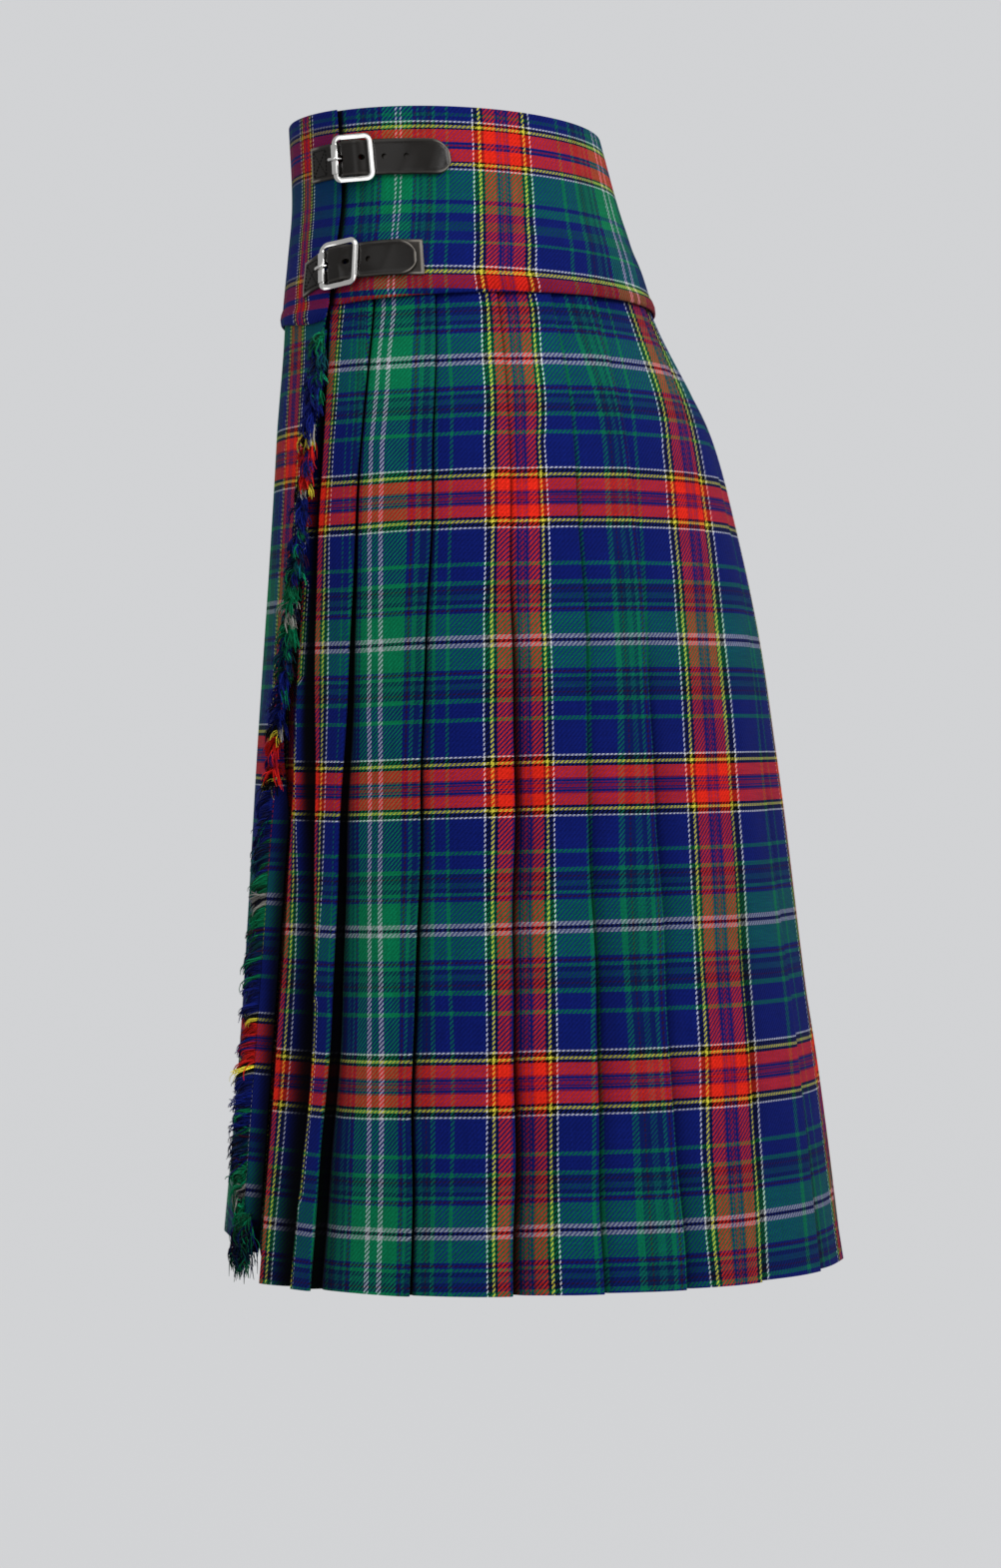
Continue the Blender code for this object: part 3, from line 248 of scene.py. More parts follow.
# ---------------------------------------------------------------- helpers
def curve(x, xs, ys):
    """A smooth curve through the points (xs, ys), with slopes from the neighbouring points."""
    xs, ys = np.asarray(xs, float), np.asarray(ys, float)
    steps = np.diff(xs)
    secants = np.diff(ys) / steps
    slopes = np.concatenate([[secants[0]], (secants[:-1] + secants[1:]) / 2, [secants[-1]]])
    x = np.clip(x, xs[0], xs[-1])
    i = np.clip(np.searchsorted(xs, x) - 1, 0, len(xs) - 2)
    t = (x - xs[i]) / steps[i]
    return (ys[i] * (1 + 2 * t) * (1 - t) ** 2 + slopes[i] * steps[i] * t * (1 - t) ** 2
            + ys[i + 1] * t * t * (3 - 2 * t) + slopes[i + 1] * steps[i] * t * t * (t - 1))


def table(rows, column, x):
    """One column of a table of rows, read at x of its first column."""
    return curve(x, [r[0] for r in rows], [getattr(r, column) for r in rows])


def smooth_step(x, start, end):
    t = np.clip((x - start) / (end - start), 0.0, 1.0)
    return t * t * (3 - 2 * t)


def mix(a, b, t):
    return a + (b - a) * t


def unit(vectors):
    return vectors / np.maximum(np.linalg.norm(vectors, axis=-1, keepdims=True), 1e-12)


def circle(count):
    """Angles evenly round a circle, in radians."""
    return 2 * math.pi * np.arange(count) / count


def front_angle(angle):
    """The same place round the body, as an angle from -180 to 180."""
    return np.where(np.asarray(angle) > 180, np.asarray(angle) - 360, angle)


def nearest_turn(angle, middle):
    """How far an angle lies from a middle, the short way round."""
    return (angle - middle + 180) % 360 - 180


def front_flat(angle, drop):
    """How far the front lies inside the oval."""
    share = np.minimum(abs(nearest_turn(angle, FLAT_MIDDLE)) / FLAT_REACH, 1.0)
    return table(FORM, "flat", drop) * np.cos(share * math.pi / 2) ** 2


def form_point(angle, drop, outward=0.0):
    """Points of the form at angles in degrees, moved outward. Any argument may be an array."""
    drop_on = np.maximum(drop, 0.0)
    outward = outward - front_flat(angle, drop_on)
    half_width = table(FORM, "half_width", drop_on) + outward
    half_depth = table(FORM, "half_depth", drop_on) + outward
    centre_y = table(FORM, "centre_y", drop_on)
    a = np.radians(angle)
    x, y, z = np.broadcast_arrays(half_width * np.sin(a), centre_y - half_depth * np.cos(a),
                                  -np.asarray(drop, float))
    return np.stack([x, y, z], axis=-1)


def form_radius(drop):
    return np.sqrt((table(FORM, "half_width", drop) ** 2 + table(FORM, "half_depth", drop) ** 2) / 2)


def degrees_of(length, drop):
    """The angle that a length of cloth takes round the form."""
    return np.degrees(length / form_radius(drop))


def metres_round(degrees, drop):
    return np.radians(degrees) * form_radius(drop)


def sway(drop):
    """0 at the yoke's seam and 1 at the hem, moving as the form's centre moves back."""
    top = table(FORM, "centre_y", YOKE_SEAM_DROP)
    bottom = FORM[-1].centre_y
    return (table(FORM, "centre_y", np.maximum(drop, YOKE_SEAM_DROP)) - top) / (bottom - top)


def tuck_depth(drop, yoke_end=YOKE_SEAM_DROP + 0.003, sunk=0.0003):
    """The skirt lies inside the yoke at its top and comes out to the form below it."""
    return (TUCK * (1 - smooth_step(drop, yoke_end, 0.190))
            + sunk * (1 - smooth_step(drop, 0.112, 0.131)))


def over_lift(angle):
    """How far the overlap's outer face stands off the form."""
    return OVER_LIFT * smooth_step(front_angle(angle), LIFT_START, LIFT_END)


def yoke_bottom(angle):
    return YOKE_BACK_DROP + YOKE_FRONT_EXTRA * (1 + np.cos(np.radians(angle))) / 2


def over_yoke_bottom(angle):
    turned = front_angle(angle)
    arch = OVER_YOKE_ARCH * smooth_step(turned, 10.0, 30.0) * (1 - smooth_step(turned, 40.0, 64.0))
    return yoke_bottom(angle) + OVER_YOKE_EXTRA * smooth_step(turned, -10.0, 70.0) - arch


def apron_edge(drop):
    return table(APRON_EDGE, "angle", drop)


def pleat_hem(angle):
    return PLEAT_HEM_DROP - HIP_LIFT * np.sin(np.radians(angle - 30)) ** 2


def apron_hem(angle):
    return mix(*APRON_HEM, (front_angle(angle) + 48.0) / 96.0)


def under_hem(angle):
    return mix(apron_hem(angle) - 0.004, pleat_hem(angle), smooth_step(angle, 46.0, 56.0))


# Soft creases: angle and drop of the middle, half lengths along and across in metres, slant
# in degrees from upright (positive leans to larger angles going down) and height in metres.
CREASES = make_rows("angle drop along across slant height", [
    (79.0, 0.098, 0.030, 0.006, 62.0, 0.0016),     # drags from the lower buckle
    (73.0, 0.110, 0.020, 0.005, 48.0, -0.0012),
    (66.0, 0.108, 0.016, 0.006, 75.0, 0.0010),
    (104.0, 0.072, 0.040, 0.007, 80.0, -0.0009),
    (91.0, 0.058, 0.026, 0.0030, -34.0, -0.0011),
    (98.0, 0.066, 0.030, 0.0032, -28.0, 0.0010),
    (107.0, 0.060, 0.028, 0.0034, -22.0, -0.0010),
    (86.0, 0.066, 0.022, 0.0028, -40.0, 0.0009),
    (128.0, 0.066, 0.050, 0.008, 84.0, -0.0008),
    (152.0, 0.078, 0.040, 0.008, 96.0, 0.0007),
    (96.0, 0.240, 0.090, 0.012, 10.0, -0.0012),    # on the pleats
    (116.0, 0.330, 0.130, 0.014, 6.0, 0.0011),
    (133.0, 0.470, 0.120, 0.013, 9.0, -0.0013),
    (147.0, 0.300, 0.140, 0.014, 12.0, -0.0010),
    (76.0, 0.520, 0.110, 0.012, -3.0, -0.0012),
    (86.5, 0.500, 0.130, 0.004, -2.0, -0.0010),
    (98.5, 0.520, 0.110, 0.004, 1.0, -0.0009),
    (112.5, 0.450, 0.150, 0.005, 2.0, -0.0010),
    (118.0, 0.560, 0.090, 0.004, 2.0, 0.0008),
    (127.5, 0.440, 0.140, 0.004, 3.0, -0.0011),
    (134.0, 0.380, 0.120, 0.004, 3.0, -0.0009),
    (142.0, 0.430, 0.150, 0.005, 4.0, -0.0012),
    (147.5, 0.460, 0.130, 0.004, 4.0, 0.0009),
    (38.0, 0.300, 0.120, 0.016, -6.0, 0.0012),     # on the front
    (20.0, 0.480, 0.140, 0.018, -4.0, -0.0014),
    (-8.0, 0.380, 0.160, 0.020, 3.0, 0.0013),
    (-34.0, 0.500, 0.130, 0.018, 6.0, -0.0013),
    (171.0, 0.420, 0.150, 0.015, 5.0, 0.0011),     # on the back and the right
    (197.0, 0.540, 0.110, 0.014, -4.0, -0.0012),
    (214.0, 0.350, 0.140, 0.015, -3.0, 0.0012),
    (238.0, 0.470, 0.120, 0.014, -8.0, -0.0013),
    (262.0, 0.300, 0.130, 0.014, -9.0, 0.0011),
    (283.0, 0.440, 0.140, 0.015, -10.0, -0.0012),
    (305.0, 0.260, 0.110, 0.016, -8.0, 0.0010),
    (200.0, 0.070, 0.050, 0.008, 86.0, -0.0007),   # level ones on the yoke
    (246.0, 0.078, 0.045, 0.008, 98.0, 0.0007),
    (280.0, 0.066, 0.040, 0.008, 92.0, -0.0008),
    (-30.0, 0.080, 0.045, 0.009, 88.0, 0.0006),
])
RIPPLES = make_rows("turns rise phase height", [
    (5, 11.0, 0.4, 0.0007), (9, -14.0, 1.9, 0.0005), (14, 19.0, 3.1, 0.0004),
    (23, 27.0, 5.0, 0.00025),
])


def undulation(angle, drop):
    """How far the cloth swells off the form: broad ripples below the hip, and the creases."""
    a = np.radians(angle)
    total = np.zeros(np.broadcast(angle, drop).shape)
    for r in RIPPLES:
        total += r.height * np.sin(r.turns * a + r.rise * drop + r.phase)
    total *= smooth_step(drop, 0.14, 0.40)
    around = form_radius(np.maximum(drop, 0.0))
    for c in CREASES:
        away = np.radians(nearest_turn(angle, c.angle)) * around
        below = drop - c.drop
        lean = math.radians(c.slant)
        along = below * math.cos(lean) + away * math.sin(lean)
        across = away * math.cos(lean) - below * math.sin(lean)
        total += c.height * np.exp(-(along / c.along) ** 2 - (across / c.across) ** 2)
    return total


# ---------------------------------------------------------------- shader nodes
DULLING = 0.60            # how much crossing yarns dull each other
WEFT_SPREAD, RED_SPREAD = 0.12, 0.34       # shares of a warp yarn that the weft's fuzz covers
DEEP_SHADE = 0.02         # how much light is left inside a fold
GAMMA = 2.2


def linear(rgb):
    """An sRGB colour, 0 to 255, as the linear values that a shader takes."""
    values = [v / 255 for v in rgb]
    return tuple(v / 12.92 if v <= 0.04045 else ((v + 0.055) / 1.055) ** 2.4 for v in values)


class Nodes:
    """Builds a material's node tree, one call a node."""

    def __init__(self, name):
        self.material = bpy.data.materials.new(name)
        self.material.use_nodes = True
        self.tree = self.material.node_tree
        self.shader = self.tree.nodes["Principled BSDF"]

    def add(self, kind, inputs=(), **settings):
        node = self.tree.nodes.new("ShaderNode" + kind)
        for key, value in settings.items():
            setattr(node, key, value)
        for key, value in dict(inputs).items():
            self.put(node.inputs[key], value)
        return node

    def put(self, socket, value):
        if isinstance(value, bpy.types.NodeSocket):
            self.tree.links.new(value, socket)
        else:
            socket.default_value = value

    def math(self, operation, a, b=0.0, clamp=False):
        return self.add("Math", {0: a, 1: b}, operation=operation, use_clamp=clamp).outputs[0]

    def times(self, product, *others):
        for factor in others:
            product = self.math("MULTIPLY", product, factor)
        return product

    def scaled(self, value, gain, offset):
        return self.math("ADD", self.times(value, gain), offset)

    def mix(self, factor, a, b, blend="MIX"):
        inputs = {"Factor": factor, 6: a, 7: b}
        return self.add("Mix", data_type="RGBA", blend_type=blend, inputs=inputs).outputs[2]

    def dimmed(self, colour, light):
        """The colour with only a share of its light."""
        grey = self.add("CombineXYZ", {0: light, 1: light, 2: light}).outputs[0]
        return self.mix(1.0, colour, grey, "MULTIPLY")

    def attribute(self, name, output="Vector"):
        return self.add("Attribute", attribute_name=name).outputs[output]

    def place(self):
        return self.add("TexCoord").outputs["Object"]

    def split(self, vector):
        return self.add("SeparateXYZ", {0: vector}).outputs

    def noise(self, vector, scale, detail=2.0):
        inputs = {"Vector": vector, "Scale": scale, "Detail": detail}
        return self.add("TexNoise", inputs).outputs["Fac"]

    def streaks(self, vector, stretch):
        """Noise drawn out along one direction, as uneven spinning shows along a yarn."""
        drawn = self.add("VectorMath", {0: vector, 1: stretch}, operation="MULTIPLY")
        return self.noise(drawn.outputs[0], 1.0, 3.0)

    def bump(self, height, distance, strength):
        inputs = {"Height": height, "Distance": distance, "Strength": strength}
        self.put(self.shader.inputs["Normal"], self.add("Bump", inputs).outputs["Normal"])

    def finish(self, **values):
        """Sets the shader's inputs and hands over the material."""
        for key, value in values.items():
            self.put(self.shader.inputs[key.replace("_", " ")], value)
        return self.material


def band_ramp(nodes, place, bands):
    """The colour of a yarn from its place in the sett, or down the yoke."""
    reach = bands[-1][0]
    share = nodes.math("DIVIDE", nodes.math("PINGPONG", place, reach), reach)
    node = nodes.add("ValToRGB", {"Fac": share})
    ramp = node.color_ramp
    ramp.interpolation = "CONSTANT"
    start = 0.0
    for index, (upto, colour) in enumerate(bands):
        stop = ramp.elements[index] if index < 2 else ramp.elements.new(start / reach)
        stop.position = start / reach
        stop.color = (*linear(PALETTE[colour]), 1.0)
        start = upto
    return node.outputs["Color"]


def fold_shade(nodes, shade):
    """Little light reaches down into the folds: 1 in the open, falling inside a fold."""
    left = nodes.math("SUBTRACT", 1.0, shade, clamp=True)
    return nodes.math("ADD", nodes.math("POWER", left, 1.8), DEEP_SHADE)


def dulled(nodes, over, warp, weft):
    """Crossing yarns of unlike colours dull each other, as their fuzz mixes."""
    eye = [nodes.add("Gamma", {0: c, 1: 1 / GAMMA}).outputs[0] for c in (warp, weft)]
    seen = nodes.add("Gamma", {0: nodes.mix(0.5, *eye), 1: GAMMA}).outputs[0]
    loss = nodes.mix(1.0, seen, nodes.mix(0.5, warp, weft), "DIVIDE")
    return nodes.mix(DULLING, over, nodes.mix(1.0, over, loss, "MULTIPLY"))


def tartan_material(name, weft_bands):
    """Wool twill. The mesh carries two vectors: place in the sett with the shade of the folds,
    and place in the cloth."""
    nodes = Nodes(name)
    sett, cloth = nodes.attribute("sett"), nodes.attribute("cloth")
    warp_place, weft_place_in_sett, shadow = nodes.split(sett)
    across_cloth, down_cloth, _ = nodes.split(cloth)
    warp = band_ramp(nodes, warp_place, WARP_BANDS)
    weft = band_ramp(nodes, weft_place_in_sett, weft_bands)

    # 2/2 twill: each yarn passes over two and under two, one step further on in each row.
    across = nodes.math("DIVIDE", across_cloth, WARP_YARN)
    down = nodes.math("DIVIDE", down_cloth, WEFT_YARN)
    step = nodes.math("ADD", nodes.math("FLOOR", across), nodes.math("FLOOR", down))
    warp_over = nodes.math("LESS_THAN", nodes.math("FLOORED_MODULO", step, 4.0), 1.5)
    # The softer weft yarns spread over part of each warp yarn, and the bright red ones most.
    red, green, _ = nodes.add("SeparateColor", {0: weft}).outputs
    redness = nodes.math("SUBTRACT", red, nodes.times(green, 3.0), clamp=True)
    spread = nodes.scaled(redness, RED_SPREAD, WEFT_SPREAD)
    warp_seen = nodes.times(warp_over, nodes.math("SUBTRACT", 1.0, spread))
    colour = dulled(nodes, nodes.mix(warp_seen, weft, warp), warp, weft)

    # Each yarn is rounded: painted shade in its hollows and a painted highlight along its crown.
    across_yarn = nodes.math("PINGPONG", across, 0.5)
    down_yarn = nodes.math("PINGPONG", down, 0.5)
    round_warp = nodes.times(across_yarn, warp_over)
    round_weft = nodes.times(down_yarn, nodes.math("SUBTRACT", 1.0, warp_over))
    yarn_height = nodes.times(nodes.math("ADD", round_warp, round_weft), 2.0)
    yarn_shade = nodes.scaled(yarn_height, 0.75, 0.48)
    melange = nodes.scaled(nodes.noise(cloth, 1.1, 3.0), 0.36, 0.82)
    blotches = nodes.scaled(nodes.noise(cloth, 0.035, 2.0), 0.30, 0.86)
    slubs = nodes.mix(warp_over, nodes.streaks(cloth, (0.05, 1.0, 0.0)),
                      nodes.streaks(cloth, (1.15, 0.05, 0.0)))
    slubs = nodes.scaled(slubs, 1.10, 0.45)
    # Warp floats are painted lighter than weft floats: painted light and shade that draw the twill's
    # lines.
    ridge = nodes.scaled(warp_over, 0.34, 0.83)
    light = nodes.times(nodes.times(yarn_shade, melange, blotches), nodes.times(slubs, ridge),
                        fold_shade(nodes, shadow))
    fuzz = nodes.times(nodes.noise(cloth, 2.6, 2.0), 0.5)
    nodes.bump(nodes.math("ADD", yarn_height, fuzz), 0.00012, 0.8)
    return nodes.finish(Base_Color=nodes.dimmed(colour, light), Roughness=0.86,
                        Sheen_Weight=0.03, Sheen_Roughness=0.4, Specular_IOR_Level=0.06)


def fringe_material():
    nodes = Nodes("fringe_yarn")
    sett, cloth = nodes.attribute("sett"), nodes.attribute("cloth")
    _, weft_place_in_sett, bright = nodes.split(sett)
    bands = recoloured(WEFT_BANDS, {"white": "ecru", "grey": "ecru", "scarlet": "madder"})
    weft = band_ramp(nodes, weft_place_in_sett, bands)
    twist = nodes.noise(cloth, 2.2, 3.0)
    nodes.bump(twist, 0.0002, 0.6)
    # The third value is each yarn's brightness: random tone, with painted highlights and painted shade
    # among the locks.
    light = nodes.times(nodes.scaled(twist, 0.8, 0.5), bright)
    return nodes.finish(Base_Color=nodes.dimmed(weft, light), Roughness=0.9,
                        Sheen_Weight=0.06, Sheen_Roughness=0.4, Specular_IOR_Level=0.1)


def leather_material(name, dark, light):
    """Grained leather between two tones, as linear colours, with a paler painted highlight along its
    rim.
    """
    nodes = Nodes(name)
    place = nodes.place()
    grain = nodes.add("TexVoronoi", {"Vector": place, "Scale": 1500.0},
                      feature="DISTANCE_TO_EDGE").outputs["Distance"]
    soft = nodes.noise(place, 260.0, 4.0)
    scuffs = nodes.noise(place, 70.0, 3.0)
    tone = nodes.add("ValToRGB", {"Fac": scuffs})
    for stop, colour in zip(tone.color_ramp.elements, (dark, light)):
        stop.color = (*colour, 1.0)
    # A paler colour mixed in along the rim: a painted highlight.
    rim_highlight = nodes.attribute("rim_highlight", "Fac")
    nodes.bump(nodes.math("ADD", nodes.times(grain, 0.5), soft), 0.00010, 0.35)
    return nodes.finish(Base_Color=nodes.mix(rim_highlight, tone.outputs["Color"], (0.34, 0.31, 0.27, 1.0)),
                        Roughness=nodes.scaled(scuffs, 0.22, 0.20), Specular_IOR_Level=0.34)


def thread_material():
    nodes = Nodes("black_stitching")
    nodes.bump(nodes.noise(nodes.place(), 2600.0, 2.0), 0.0001, 0.5)
    return nodes.finish(Base_Color=(0.0020, 0.0018, 0.0016, 1.0), Roughness=0.6,
                        Specular_IOR_Level=0.2)


def metal_material():
    nodes = Nodes("polished_buckle_metal")
    wear = nodes.noise(nodes.place(), 420.0, 5.0)
    return nodes.finish(Base_Color=(0.93, 0.92, 0.90, 1.0), Metallic=1.0,
                        Roughness=nodes.scaled(wear, 0.10, 0.08))


# ---------------------------------------------------------------- meshes
def finish_piece(obj, slot, *nodes):
    """Parents a piece to the root and hides the CAD nodes it stands for, if any. Its slot is not used.
    """
    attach(obj, "root")
    if nodes:
        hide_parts(*nodes)
    return obj


def new_object(name, vertices, faces, material, smooth_angle=40.0):
    mesh = bpy.data.meshes.new(name)
    mesh.from_pydata(np.asarray(vertices).tolist(), [], faces)
    mesh.materials.append(material)
    mesh.shade_smooth()
    mesh.set_sharp_from_angle(angle=math.radians(smooth_angle))
    obj = bpy.data.objects.new(name, mesh)
    bpy.context.scene.collection.objects.link(obj)
    return obj


def add_vectors(mesh, name, values):
    attribute = mesh.attributes.new(name, "FLOAT_VECTOR", "POINT")
    attribute.data.foreach_set("vector", np.asarray(values, np.float32).ravel())


def slab_faces(rows, columns):
    """Faces that close two grids of points, one behind the other, into a slab."""
    back = rows * columns
    i, j = np.meshgrid(np.arange(rows - 1), np.arange(columns - 1), indexing="ij")
    a = (i * columns + j).ravel()
    front = np.stack([a, a + columns, a + columns + 1, a + 1], axis=1)
    behind = back + front[:, ::-1]
    rim = np.concatenate([np.arange(columns), np.arange(1, rows) * columns + columns - 1,
                          (rows - 1) * columns + np.arange(columns - 2, -1, -1),
                          np.arange(rows - 2, 0, -1) * columns])
    after = np.roll(rim, -1)
    edge = np.stack([rim, after, back + after, back + rim], axis=1)
    return np.concatenate([front, behind, edge]).tolist()


def tube(rings, closed):
    """Vertices and faces of a tube through rings of points, capped unless it is closed."""
    count, sides = len(rings), len(rings[0])
    faces = []
    for i in range(count if closed else count - 1):
        j = (i + 1) % count
        for k in range(sides):
            m = (k + 1) % sides
            faces.append((i * sides + k, i * sides + m, j * sides + m, j * sides + k))
    if not closed:
        faces.append(tuple(reversed(range(sides))))
        faces.append(tuple((count - 1) * sides + k for k in range(sides)))
    return np.concatenate([np.asarray(r) for r in rings]), faces


def joined(parts):
    """Several (vertices, faces) as one."""
    vertices, faces, base = [], [], 0
    for part_vertices, part_faces in parts:
        vertices.append(part_vertices)
        faces += [tuple(base + k for k in face) for face in part_faces]
        base += len(part_vertices)
    return np.concatenate(vertices), faces


# ---------------------------------------------------------------- cloth
def cloth_piece(name, middle, thickness, sett, cloth, material, *nodes):
    """A thin closed shell on a grid of points of its mid surface, rows from top to bottom. sett
    is its places in the warp and the weft and its shade, and cloth its places in the twill."""
    normal = unit(np.cross(np.gradient(middle, axis=0), np.gradient(middle, axis=1)))
    rows, columns = middle.shape[:2]
    half = (thickness / 2 * np.ones((rows, columns)))[..., None]
    outer, inner = middle + normal * half, middle - normal * half
    vertices = np.concatenate([outer.reshape(-1, 3), inner.reshape(-1, 3)])
    obj = new_object("cloth_" + name, vertices, slab_faces(rows, columns), material, 55.0)
    for key, values in (("sett", sett), ("cloth", (*cloth, 0.0))):
        grid = [np.broadcast_to(value, (rows, columns)) for value in values]
        flat = np.stack(grid, axis=-1).reshape(-1, 3)
        add_vectors(obj.data, key, np.concatenate([flat, flat]))
    return finish_piece(obj, "tartan_wool", *nodes)


def running_length(points):
    """Distance along each row of a grid of points, in millimetres."""
    steps = np.linalg.norm(np.diff(points, axis=1), axis=2) * 1000
    return np.concatenate([np.zeros((len(points), 1)), np.cumsum(steps, axis=1)], axis=1)


def weft_place(drop):
    """Place in the sett of the skirt's weft, from its drop in metres."""
    return (drop * 1000 - WEFT_RED_CENTRE) * (2 * HALF_SETT / WEFT_SETT)


def apron_weft(drop, share=1.0):
    """The overlap's weft: its bands sit higher than the pleats' along the free edge."""
    return weft_place(drop + share * np.interp(drop, RISE_DROPS, APRON_RISE) / 1000)


def apron_warp(angle, drop):
    """The overlap's warp, row by row, from the line that runs down the middle of its red group."""
    place = np.zeros_like(angle)
    for i, level in enumerate(drop):
        line = np.interp(level, TRACK_DROPS, APRON_LINE)
        away = metres_round(angle[i] - line, level) * 1000
        lower = smooth_step(level, 0.33, 0.42)
        greener = mix(18.0, 55.0, lower)
        wide = greener + mix(37.0, 17.0, lower)
        # Place in the sett at these millimetres from the line: the group's own bands, a green
        # stretch, and at last the sett at its full width.
        front = np.interp(-away, [0, APRON_GROUP, greener, greener + 12, wide, 120, 720],
                          [0, 17.4, 45, 66, mix(76.0, 72.0, lower), 141, 741])
        edge = np.interp(away, [0, APRON_GROUP, 42], [0, 17.4, 36])
        place[i] = np.where(away < 0, front, edge)
    return place


def weft_shift(angle, drop):
    """How far the pleats' weft bands run below their even spacing, in metres."""
    drops, *sags = zip(*WEFT_SAG)
    columns = [np.interp(drop, drops, sag) for sag in sags]
    total = columns[0]
    for k in range(1, len(columns)):
        share = np.clip((angle - SAG_ANGLES[k - 1]) / (SAG_ANGLES[k] - SAG_ANGLES[k - 1]), 0, 1)
        total = total + share * (columns[k] - columns[k - 1])
    return total / 1000


class FoldedCloth:
    """Gathers the rows of a cloth: angle and depth of each column, and how its panels lie."""

    def __init__(self):
        self.rows = []

    def start_row(self, drop):
        self.drop = drop
        self.nose_width = degrees_of(NOSE, drop)
        self.columns = []

    def add(self, angles, depths, panel, shown=False, shade=1.0):
        """Columns at angles and depths. The shade is 0 in the open and 1 inside a fold."""
        self.columns.append(np.broadcast_arrays(angles, depths, panel, shown, shade))

    def line(self, start, end, panel):
        """Hidden columns from start up to, but not including, end: both (angle, depth)."""
        share = np.arange(HIDDEN_COLUMNS) / HIDDEN_COLUMNS
        self.add(mix(start[0], end[0], share), mix(start[1], end[1], share), panel)

    def nose(self, edge, facing, panel):
        """The rounded edge of a pressed fold: facing is 1 for one that faces backward, which
        runs from its outer side to its inner side, and -1 for one that faces forward."""
        turn = np.linspace(0, math.pi, NOSE_COLUMNS)[::facing]
        angles = edge - facing * self.nose_width + facing * self.nose_width * np.sin(turn)
        depths = FOLD_PITCH / 2 * (1 - np.cos(turn))
        self.add(angles, depths, panel, shade=0.75 * (depths / FOLD_PITCH) ** 2)

    def turn(self, angle, depth, side, panel):
        """The hidden inner turn: one pitch deeper where side is -1, and one back where it is 1."""
        turn = np.linspace(0.15, 0.85, 3) * math.pi
        bulge = degrees_of(FOLD_PITCH / 2, self.drop)
        self.add(angle + side * bulge * np.sin(turn),
                 depth + FOLD_PITCH * (1 + side * np.cos(turn)) / 2, panel)

    def end_row(self):
        self.rows.append([np.concatenate([np.atleast_1d(part[k]) for part in self.columns])
                          for k in range(5)])


def eased(start, end):
    """Angles from start to end, closer together towards both ends."""
    share = np.linspace(0, 1, SHOWN_COLUMNS)
    return mix(start, end, mix(share, smooth_step(share, 0, 1), 0.6))


# How many degrees some folds stray from their straight run: drops, and degrees at each.
STRAYS = {
    "box_front": ([0.14, 0.20, 0.30, 0.35, 0.45, 0.515, 0.58, 0.65],
                  [0.0, -1.2, -1.7, -1.2, 0.3, 1.5, 0.7, -0.2]),
    "knife_02": ([0.14, 0.25, 0.40, 0.52, 0.60, 0.66], [0.0, -0.8, -1.4, -1.4, -0.9, -0.6]),
}


def fold_angle(fold, drop):
    index = FOLDS.index(fold)
    wander = 0.22 * math.sin(31 * drop + 2.1 * index) + 0.12 * math.sin(67 * drop + 1.3 * index)
    wander *= smooth_step(drop, 0.14, 0.22)
    if fold.name in STRAYS:
        wander += float(curve(drop, *STRAYS[fold.name]))
    return mix(fold.yoke_angle, fold.hem_angle, sway(drop)) + wander


def fold_recess(fold, drop):
    opening = (0.20, 0.60) if fold is BOX_BACK else (YOKE_SEAM_DROP, 0.50)
    return mix(fold.yoke_recess, fold.hem_recess, smooth_step(drop, *opening))


def fold_underlap(fold, drop):
    """Degrees that the hidden return of a fold reaches back under its own panel."""
    if fold in (BOX_FRONT, BOX_BACK):
        return BOX_TUCK_SHARE * (fold_angle(BOX_BACK, drop) - fold_angle(BOX_FRONT, drop))
    if fold is FRONT_KNIFE:
        return FRONT_TUCK_SHARE * (fold_angle(BOX_FRONT, drop) - fold_angle(fold, drop))
    before = FOLDS[FOLDS.index(fold) - 1]
    return UNDERLAP_SHARE * (fold_angle(fold, drop) - fold_angle(before, drop))


def panel_slope(recess, share):
    """How deep a panel lies, at a share of the way back from its fold to the fold before."""
    return recess * share ** 1.4


def return_depth(fold, covered_depth, drop):
    slack = fold_recess(fold, drop) - 2 * FOLD_PITCH
    return covered_depth + FOLD_PITCH + 0.5 * slack


def outer_return(fold, before, drop):
    """Depth of the outer layer of a fold's hidden return, at its far end."""
    share = fold_underlap(fold, drop) / (fold_angle(fold, drop) - fold_angle(before, drop))
    covered = panel_slope(fold_recess(before, drop), share)
    return return_depth(fold, covered, drop) + FOLD_PITCH


# Beside the folds the cloth beneath drops into a dark hollow.
SOFT_SHADE, BOX_SOFT_SHADE = 0.26, 0.50    # the shade round a hollow, and round the box pleat's
SOFT_REACH = 3.2                           # how many times wider than the hollow it is
HOLLOWS = {row.fold: row for row in make_rows("fold yoke_depth hem_depth yoke_width hem_width", [
    ("box_front", 0.0060, 0.0090, 0.0080, 0.0070),
    ("box_back", 0.0008, 0.0022, 0.0010, 0.0030),
    ("knife_02", 0.0012, 0.0015, 0.0010, 0.0014),
    ("knife_03", 0.0014, 0.0026, 0.0011, 0.0042),
    ("other", 0.0014, 0.0024, 0.0013, 0.0034),
])}


def hollow_width(fold, drop):
    row = HOLLOWS.get(fold.name, HOLLOWS["other"])
    flare = 1 + 0.30 * math.sin(23 * drop + 3 * FOLDS.index(fold))
    return mix(row.yoke_width, row.hem_width, smooth_step(drop, 0.15, 0.45)) * flare


def hollow_depth(fold, away, drop):
    """How deep the hollow beside a fold is, at a distance from the fold in metres."""
    row = HOLLOWS.get(fold.name, HOLLOWS["other"])
    depth = mix(row.yoke_depth, row.hem_depth, smooth_step(drop, YOKE_SEAM_DROP, 0.30))
    return depth * np.exp(-(away / hollow_width(fold, drop)) ** 2)


